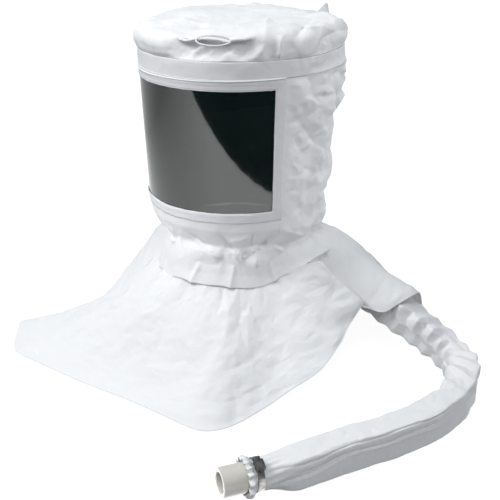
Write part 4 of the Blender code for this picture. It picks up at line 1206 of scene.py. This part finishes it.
# ------------------------------------------------------------------ bibs
@dataclass
class Bibs:
    """The two shoulder bibs, cut square and spread on the rest plane."""

    shop: Workshop
    stitches: bpy.types.NodeTree
    hose: np.ndarray
    low: float = REST_PLANE + 0.0010

    FRONT = (
        (-0.150, -0.045, 0.118), (-0.192, -0.115, 0.050), (-0.240, -0.165, 0.020), (-0.300, -0.222, 0.002),
        (-0.304, -0.235, 0.0), (-0.285, -0.252, 0.0), (-0.250, -0.282, 0.0), (-0.222, -0.301, 0.0),
        (-0.200, -0.303, 0.0),
        (-0.130, -0.296, 0.0), (-0.063, -0.289, 0.0), (0.051, -0.270, 0.0), (0.130, -0.262, 0.0),
        (0.165, -0.258, 0.0),
        (0.186, -0.248, 0.0), (0.199, -0.228, 0.0), (0.205, -0.200, 0.001), (0.212, -0.150, 0.008),
        (0.219, -0.106, 0.020),
        (0.2355, -0.059, 0.040), (0.234, -0.010, 0.066), (0.228, 0.018, 0.084), (0.223, 0.062, 0.110),
    )
    BACK = (
        (0.198, 0.056, 0.106), (0.226, 0.066, 0.101), (0.250, 0.078, 0.096), (0.266, 0.098, 0.110),
        (0.274, 0.122, 0.118),
        (0.270, 0.148, 0.112), (0.256, 0.180, 0.066), (0.232, 0.218, 0.026), (0.205, 0.255, 0.0),
        (0.165, 0.285, 0.0),
        (0.0, 0.292, 0.0), (-0.165, 0.285, 0.0), (-0.215, 0.240, 0.004), (-0.245, 0.150, 0.015),
        (-0.258, 0.050, 0.026),
        (-0.258, -0.020, 0.030), (-0.254, -0.070, 0.022), (-0.238, -0.118, 0.014), (-0.205, -0.136, 0.018),
        (-0.150, -0.124, 0.045),
    )

    HOSE_CLEARANCE = 0.0335  # back bib above the centreline of the sleeved hose

    def rows(self, hem: Sequence[Sequence[float]], neck: np.ndarray, sag: np.ndarray, count: tuple[int, int]):
        """A smooth sheet from the neck to its hem; sag is negative where it bulges up.

        Returns:
            The grid of points, and the distances of each point down and along the sheet.
        """
        rows, columns = count
        edge = curve_through(hem, columns)
        edge[:, 2] = np.maximum(edge[:, 2], 0.0) + self.low
        share = np.linspace(0, 1, rows)[:, None, None]
        points = neck[None] * (1 - share) + edge[None] * share
        points[..., 2] = points[..., 2] - sag[None] * 4 * share[..., 0] * (1 - share[..., 0])
        down = np.broadcast_to(np.linalg.norm(edge - neck, axis=1)[None] * share[..., 0], points.shape[:2])
        along = np.broadcast_to(np.linspace(0, 0.62, columns)[None], points.shape[:2])
        return points, down, along

    def over_hose(self, points: np.ndarray, clearance: float) -> np.ndarray:
        """The sheet lifted where it lies over the sleeved hose."""
        flat = points.reshape(-1, 3)
        best = np.full(len(flat), 1e9)
        near = np.zeros_like(flat)
        for a, b in zip(self.hose, self.hose[1:]):
            run = b - a
            t = np.clip(((flat - a) @ run) / (run @ run), 0, 1)[:, None]
            close = a + t * run
            away = np.linalg.norm(flat - close, axis=1)
            nearer = away < best
            best[nearer], near[nearer] = away[nearer], close[nearer]
        away = flat - near
        lift = away / np.maximum(best, 1e-6)[:, None] + [0, 0, 1.2]
        outward = near * [1, 1, 0]
        lift += 0.3 * outward / np.maximum(np.linalg.norm(outward, axis=1), 1e-6)[:, None]
        lift /= np.linalg.norm(lift, axis=1, keepdims=True)
        moved = near + lift * clearance
        reach = np.where(best[:, None] < clearance, moved, flat)
        return reach.reshape(points.shape)

    def crease(
        self, points: np.ndarray, down: np.ndarray, along: np.ndarray, seed: int, strength: float
    ) -> np.ndarray:
        """The sheet with its creases, kept on or above the rest plane."""
        low, high = (-0.02, -0.02), (0.66, 0.42)
        large = Creases(seed, 0.050, low, high, (1.0, 2.2))
        middle = Creases(seed + 1, 0.021, low, high, (1.0, 1.5))
        small = Creases(seed + 2, 0.010, low, high)
        calm = 0.45 + 0.55 * hump(0.11, 0.11, down)
        relief = 0.0052 * soften(
            large.at(along, down), 1
        ) * calm + 0.0030 * middle.at(along, down) * calm + 0.0011 * small.at(along, down)
        normal = normals_of(points)
        normal *= np.sign(normal[..., 2:3] + 1e-9)
        edge = 1 - 0.8 * step(0.93, 1.0, np.linspace(0, 1, points.shape[0]))[:, None]
        points = points + normal * (relief * strength * edge)[..., None]
        points[..., 2] = np.maximum(points[..., 2], self.low + 0.00015)
        return points

    def build(self) -> None:
        """Make both bibs."""
        count = (110, 260)
        angle = np.linspace(-84, 96, count[1])
        shoulder = step(62, 96, angle)
        turn, radius = np.radians(angle), 0.1185 + 0.052 * shoulder**2
        neck = np.stack([radius * np.sin(turn), -radius * np.cos(turn), -0.274 + 0.030 * shoulder], axis=1)
        front, down, along = self.rows(self.FRONT, neck, 0.020 * (1 - shoulder), count)
        front = self.crease(front, down, along, SEED + 20, 1.0)
        obj = self.shop.cloth("front_bib_cloth", front, Slot.FABRIC)
        finish_piece(obj, Slot.FABRIC, replaces=["front_bib"])

        angle = np.linspace(92, 306, count[1])
        turn = np.radians(angle)
        radius = 0.1175 + 0.030 * (1 - step(92, 112, angle))
        high = -0.222 - 0.022 * (
            1 - step(92, 118, angle)
        ) - 0.010 * step(160, 240, angle) - 0.052 * step(256, 296, angle)
        neck = np.stack([radius * np.sin(turn), -radius * np.cos(turn), high], axis=1)
        column = np.arange(count[1]) / count[1]
        sag = 0.012 - 0.052 * hump(
            0.215, 0.10, column
        ) - 0.062 * hump(0.80, 0.09, column) + 0.034 * step(0.87, 0.98, column)
        back, down, along = self.rows(self.BACK, neck, sag, count)
        back = self.crease(back, down, along, SEED + 30, 0.9)
        back = self.over_hose(back, self.HOSE_CLEARANCE)
        obj = self.shop.cloth("back_bib_cloth", back, Slot.FABRIC)
        finish_piece(obj, Slot.FABRIC, replaces=["back_bib"])


# ------------------------------------------------------------------ air path
@dataclass
class AirPath:
    """The hose in its fabric sleeve, its cuff and its clamps."""

    shop: Workshop
    stitches: bpy.types.NodeTree
    hose_radius: float = 0.020
    sleeve_radius: float = 0.0275
    cuff_radius: float = 0.020
    cuff_bore: float = 0.0135
    cuff_length: float = 0.075
    sleeve_start: float = 0.165
    cuff_shown: float = 0.0315

    ROUTE = (
        (0.037, 0.119, -0.0858), (0.037, 0.119, -0.120), (0.034, 0.098, -0.177), (0.030, 0.074, -0.225),
        (0.042, 0.084, -0.268), (0.078, 0.108, -0.300), (0.130, 0.118, -0.312), (0.185, 0.113, -0.316),
        (0.235, 0.114, -0.330), (0.282, 0.126, -0.356), (0.326, 0.136, -0.381), (0.366, 0.124, -0.393),
        (0.398, 0.086, -0.3965), (0.416, 0.028, -0.3970), (0.417, -0.042, -0.3970), (0.403, -0.108, -0.3970),
        (0.380, -0.174, -0.3970),
    )

    def __post_init__(self) -> None:
        """Set out the cuff and the hose's centreline."""
        self.out = np.array([-0.413, -0.911, 0.0])
        self.out /= np.linalg.norm(self.out)
        self.face = np.array([0.314, -0.346, -0.3972])
        end = self.face - self.out * (self.cuff_length + 0.0009)
        line = curve_through([*self.ROUTE, end - self.out * 0.035, end], 300)
        line[:, 2] = np.maximum(line[:, 2], self.face[2])
        self.line = line

    def frames(self, line: np.ndarray) -> tuple[np.ndarray, np.ndarray]:
        """A level side and an upward direction across a line at each of its points."""
        along = np.gradient(line, axis=0)
        along /= np.linalg.norm(along, axis=1, keepdims=True)
        side = np.cross(along, [0, 0, 1.0])
        size = np.linalg.norm(side, axis=1, keepdims=True)
        first = np.array([1.0, 0, 0])
        side = np.where(size > 0.25, side / np.maximum(size, 1e-6), first)
        for i in range(len(side) - 2, -1, -1):
            if size[i] <= 0.25:
                side[i] = side[i + 1] - along[i] * (side[i + 1] @ along[i])
                side[i] /= np.linalg.norm(side[i])
        return side, np.cross(side, along)

    def tube(self, name: str, line: np.ndarray, radii: np.ndarray, slot: Slot):
        """A tube of the given radii, rows along the line and columns round it.

        Returns:
            The object.
        """
        side, lift = self.frames(line)
        turn = np.linspace(0, 2 * pi, radii.shape[1], endpoint=False)
        points = line[:, None] + radii[..., None] * (
            side[:, None] * np.cos(turn)[None, :, None] + lift[:, None] * np.sin(turn)[None, :, None]
        )
        return points, self.shop.piece(name, points, grid_faces(*radii.shape, closed=True), slot)

    def sleeve(self) -> None:
        """The loose fabric sleeve: flat on top, upright at its side, and folded where it bends."""
        lengths = np.concatenate([[0.0], np.cumsum(np.linalg.norm(np.diff(self.line, axis=0), axis=1))])
        reach = np.linspace(self.sleeve_start, lengths[-1], 400)
        body = np.stack([np.interp(reach, lengths, self.line[:, k]) for k in range(3)], axis=1)
        tail_count = int((self.cuff_length - self.cuff_shown) / 0.0019)
        tail = self.face - self.out * np.linspace(
            self.cuff_length - 0.001, self.cuff_shown, tail_count
        )[:, None]
        line = np.vstack([body, tail])
        run = np.concatenate([[0.0], np.cumsum(np.linalg.norm(np.diff(line, axis=0), axis=1))])
        total = run[-1]
        around = 128
        turn = np.linspace(0, 2 * pi, around, endpoint=False)
        s, t = np.meshgrid(run, turn, indexing="ij")
        across, upper, under, power = 0.0218, 0.0210, 0.0268, 10.0
        tall = np.where(np.sin(t) > 0, upper, under)
        square = (np.abs(np.cos(t) / across) ** power + np.abs(np.sin(t) / tall) ** power) ** (-1 / power)
        box_share = 0.25 + 0.75 * step(0.08, 0.20, s)
        radius = self.sleeve_radius * (1 - box_share) + square * box_share
        bend = 0.18 + 0.82 * step(0.20, 0.27, s) * (1 - step(0.44, 0.56, s))
        low, high = (-0.05, -0.02), (total + 0.05, 0.25)
        field = Creases(SEED + 40, 0.034, low, high, (1.0, 1.4))
        seam = step(0.0, 1.0, t)
        large = field.at(s, t * 0.030) * seam + field.at(s, (t - 2 * pi) * 0.030 + 0.1885) * (1 - seam)
        small = Creases(SEED + 41, 0.013, low, high).at(s, t * 0.030)
        relief = 0.0040 * soften(large, 1) * bend + 0.0010 * small * (0.4 + 0.6 * (np.sin(t) > 0.2))
        # Long shallow tucks run along the outer shoulder of the straight stretch.
        for level, height, width in (
            (2.45, -0.0030, 0.05), (2.31, 0.0013, 0.04), (2.80, -0.0018, 0.06), (3.05, 0.0012, 0.05)
        ):
            drift = level + 0.05 * np.sin(s * 21.0 + level * 9) + 0.045 * np.sign(
                np.sin(s * 63.0 + level)
            ) * np.abs(
                np.sin(s * 63.0 + level)
            ) ** 0.5
            drift = drift + (level - 2.40) * 0.9 * step(0.70, 0.86, s)
            relief = relief + height * np.exp(-np.abs(t - drift) / width) * step(0.50, 0.60, s)
        # Cross folds where the sleeve is pushed together on the inside of the bend.
        folds = np.array([0.215, 0.250, 0.279, 0.312, 0.338, 0.369, 0.394, 0.424, 0.462, 0.505, 0.556])
        slanted = s + 0.011 * np.sin(1.7 * t + 0.4) * (t < 3.2)
        place = np.interp(slanted, folds, np.arange(len(folds), dtype=float))
        saw = 1 - 4 * np.abs(place - np.round(place))
        reach = step(0.20, 0.24, s) * (1 - step(0.45, 0.57, s))
        inside = np.exp(-(((t - 0.62) / 0.50) ** 2))
        relief = relief + (0.0020 + 0.0030 * inside) * (saw - 0.30) * reach
        # On the inside, flat cuts across the upper edge come and go with the folds.
        cut = (0.0272 + 0.0048 * saw) / np.maximum(np.cos(t - 0.66), 0.2)
        notched = np.minimum(radius, cut) * (t < 1.9) + radius * (t >= 1.9)
        radius = radius * (1 - reach) + notched * reach
        relief = relief * (1 - step(total - 0.085, total - 0.055, s))
        radius = radius + relief
        gathered = self.cuff_radius + 0.0016
        near_end = step(total - 0.075, total - 0.028, s)
        pucker = 0.0014 * np.sin(
            t * 15 + 1.3 * np.sin(t * 3) + 90.0 * (total - s)
        ) * step(total - 0.07, total - 0.03, s)
        frill = 0.0048 * step(total - 0.0125, total - 0.0060, s) - 0.0022 * step(total - 0.0035, total, s)
        # Pleats run slantwise from the clamp along the sleeve's outer side.
        pleat = np.abs(np.sin(3.5 * t + 16.0 * (total - s))) ** 0.6 - 0.6
        radius = radius + 0.0030 * pleat * step(total - 0.16, total - 0.05, s) * (
            1 - step(total - 0.030, total - 0.018, s)
        ) * (t > 2.5)
        radius = radius * (1 - near_end) + (gathered + frill) * near_end + pucker * (
            0.5 + 1.2 * (frill > 0.001)
        )
        clamp = hump(total - (0.049 - self.cuff_shown), 0.006, s)
        radius = radius * (1 - clamp) + np.minimum(radius, gathered + 0.0002) * clamp
        radius = np.clip(radius, 0.0205, 0.0362)
        side, lift = self.frames(line)
        across = radius * np.cos(t)
        rise = radius * np.sin(t)
        points = line[:, None] + side[:, None] * across[..., None] + lift[:, None] * rise[..., None]
        points[..., 2] = np.maximum(points[..., 2], REST_PLANE + 0.0004)
        obj = self.shop.piece("sleeve_cloth", points, grid_faces(*radius.shape, closed=True), Slot.FABRIC)
        obj.data.set_sharp_from_angle(angle=radians(20))
        solid = obj.modifiers.new("thickness", "SOLIDIFY")
        solid.thickness, solid.offset = 0.0006, -1.0
        finish_piece(obj, Slot.FABRIC, replaces=["hose_sleeve"])
        path = even(line, 60)
        round(length_of(path), 3)

    def hose(self) -> None:
        """The corrugated hose inside the sleeve."""
        count = int(length_of(self.line) / 0.0011)
        line = even(self.line, count)
        run = np.linspace(0, length_of(self.line), count)
        ribs = self.hose_radius - 0.0011 + 0.0011 * np.sin(run * 2 * pi / 0.0066)
        ends = np.minimum(step(0.0, 0.004, run), step(0.0, 0.004, run[-1] - run))
        ribs = ribs * ends + (self.hose_radius - 0.0014) * (1 - ends)
        radii = np.repeat(ribs[:, None], 28, axis=1)
        _, obj = self.tube("ribbed_hose", line, radii, Slot.HOSE)
        solid = obj.modifiers.new("thickness", "SOLIDIFY")
        solid.thickness, solid.offset = 0.0010, -1.0
        finish_piece(obj, Slot.HOSE, replaces=["breathing_hose"])
        path = even(self.line, 60)
        tuple(self.line[0])
        round(length_of(self.line), 3)

    def cuff(self) -> None:
        """The ivory cuff with a rounded lip."""
        profile = [
            (self.cuff_bore, -self.cuff_length), (self.cuff_radius - 0.001, -self.cuff_length),
            (self.cuff_radius, -self.cuff_length + 0.001),
            (self.cuff_radius, -0.0012), (self.cuff_radius - 0.0004, -0.0004),
            (self.cuff_radius - 0.0012, 0.0),
            (self.cuff_bore + 0.0012, 0.0), (self.cuff_bore + 0.0004, -0.0004), (self.cuff_bore, -0.0012),
        ]
        sides = 96
        up = np.array([0.0, 0.0, 1.0])
        side = np.cross(self.out, up)
        turn = np.linspace(0, 2 * pi, sides, endpoint=False)
        ring = side[None] * np.sin(turn)[:, None] + up[None] * np.cos(turn)[:, None]
        points = np.array(
            [[self.face + self.out * a + direction * r for r, a in profile] for direction in ring]
        )
        n = len(profile)
        faces = [
            (i * n + j, i * n + (j + 1) % n, ((i + 1) % sides) * n + (j + 1) % n, ((i + 1) % sides) * n + j)
            for i in range(sides) for j in range(n)
        ]
        obj = self.shop.piece("cuff_shell", points, faces, Slot.CUFF)
        obj.data.set_sharp_from_angle(angle=radians(40))
        finish_piece(obj, Slot.CUFF, replaces=["end_cuff"])
        self.cuff_piece = obj

    def build(self) -> None:
        """Make the cords first, then what is on them."""
        self.sleeve()
        self.hose()
        self.cuff()
        for prefix in ("upper", "lower"):
            for part in ("band", "housing", "screw", "tail"):
                self.shop.dress(f"{prefix}_clamp_{part}", Slot.STEEL)
        self.shop.dress("air_duct", Slot.HOSE)
        self.shop.dress("duct_outlet", Slot.HOSE)
        self.shop.dress("inlet_spigot", Slot.PLASTIC)


# ------------------------------------------------------------------ harness
@dataclass
class Harness:
    """The headband, its pad and straps, and the ratchet behind."""

    shop: Workshop
    stitches: bpy.types.NodeTree

    def build(self) -> None:
        """Dress the hard pieces and remake the soft ones."""
        hard = (
            "headband", "front_hanger", "left_hanger", "right_hanger", "ratchet_housing", "ratchet_cover",
            "ratchet_knob", "ratchet_pinion", "left_rack_strap", "right_rack_strap"
        )
        for node in hard:
            self.shop.dress(node, Slot.PLASTIC)
        self.soft_copy("neck_elastic", "neck_elastic_tape", Slot.WEBBING)
        self.soft_copy("crown_strap_fore_aft", "fore_aft_webbing", Slot.WEBBING)
        self.soft_copy("crown_strap_cross", "cross_webbing", Slot.WEBBING)
        self.soft_copy("left_hood_tab", "left_tab_cloth", Slot.BINDING)
        self.soft_copy("right_hood_tab", "right_tab_cloth", Slot.BINDING)
        self.soft_copy("sweatband", "sweatband_pad", Slot.PAD, rounds=3)

    def soft_copy(
        self, node: str, name: str, slot: Slot, rounds: int = 1, cell: float = 0.0045
    ):
        """A soft piece over a CAD node: its edges rounded and its faces faintly ribbed.

        Args:
            node: the CAD node.
            name: the new piece's name.
            slot: its material slot.
            rounds: how many times its edges are rounded.
            cell: the largest edge left before rounding.

        Returns:
            The new object.
        """
        work = bmesh.new()
        work.from_mesh(frame["nodes"][node].data)
        bmesh.ops.remove_doubles(work, verts=work.verts, dist=1e-5)
        for _ in range(4):
            bmesh.ops.triangulate(work, faces=work.faces)
            long = [edge for edge in work.edges if edge.calc_length() > cell]
            if not long or len(work.faces) > 40000:
                break
            bmesh.ops.subdivide_edges(work, edges=long, cuts=1)
        bmesh.ops.triangulate(work, faces=work.faces)
        for _ in range(rounds):
            bmesh.ops.smooth_vert(
                work, verts=work.verts, factor=0.25, use_axis_x=True, use_axis_y=True, use_axis_z=True
            )
        work.normal_update()
        for vert in work.verts:
            x, y, z = vert.co
            vert.co += vert.normal * (0.00012 * sin(x * 2100) * sin(y * 2100 + z * 1300) + 0.0001)
        mesh = bpy.data.meshes.new(name)
        work.to_mesh(mesh)
        work.free()
        mesh.shade_smooth()
        mesh.materials.append(self.shop.looks[slot])
        obj = bpy.data.objects.new(name, mesh)
        bpy.context.scene.collection.objects.link(obj)
        finish_piece(obj, slot, body=body_of(node), replaces=[node])
        return obj


def main() -> None:
    """Build the studio and then the object."""
    logging.basicConfig(level=logging.INFO, format="%(message)s")
    Studio().build()
    shop = Workshop()
    stitches = stitch_tree("stitches", shop.looks[Slot.BINDING])
    air = AirPath(shop, stitches)
    air.build()
    Hood(shop, stitches).build()
    Bibs(shop, stitches, air.line[air.line[:, 2] < -0.23]).build()
    Harness(shop, stitches).build()


if __name__ == "__main__":
    main()
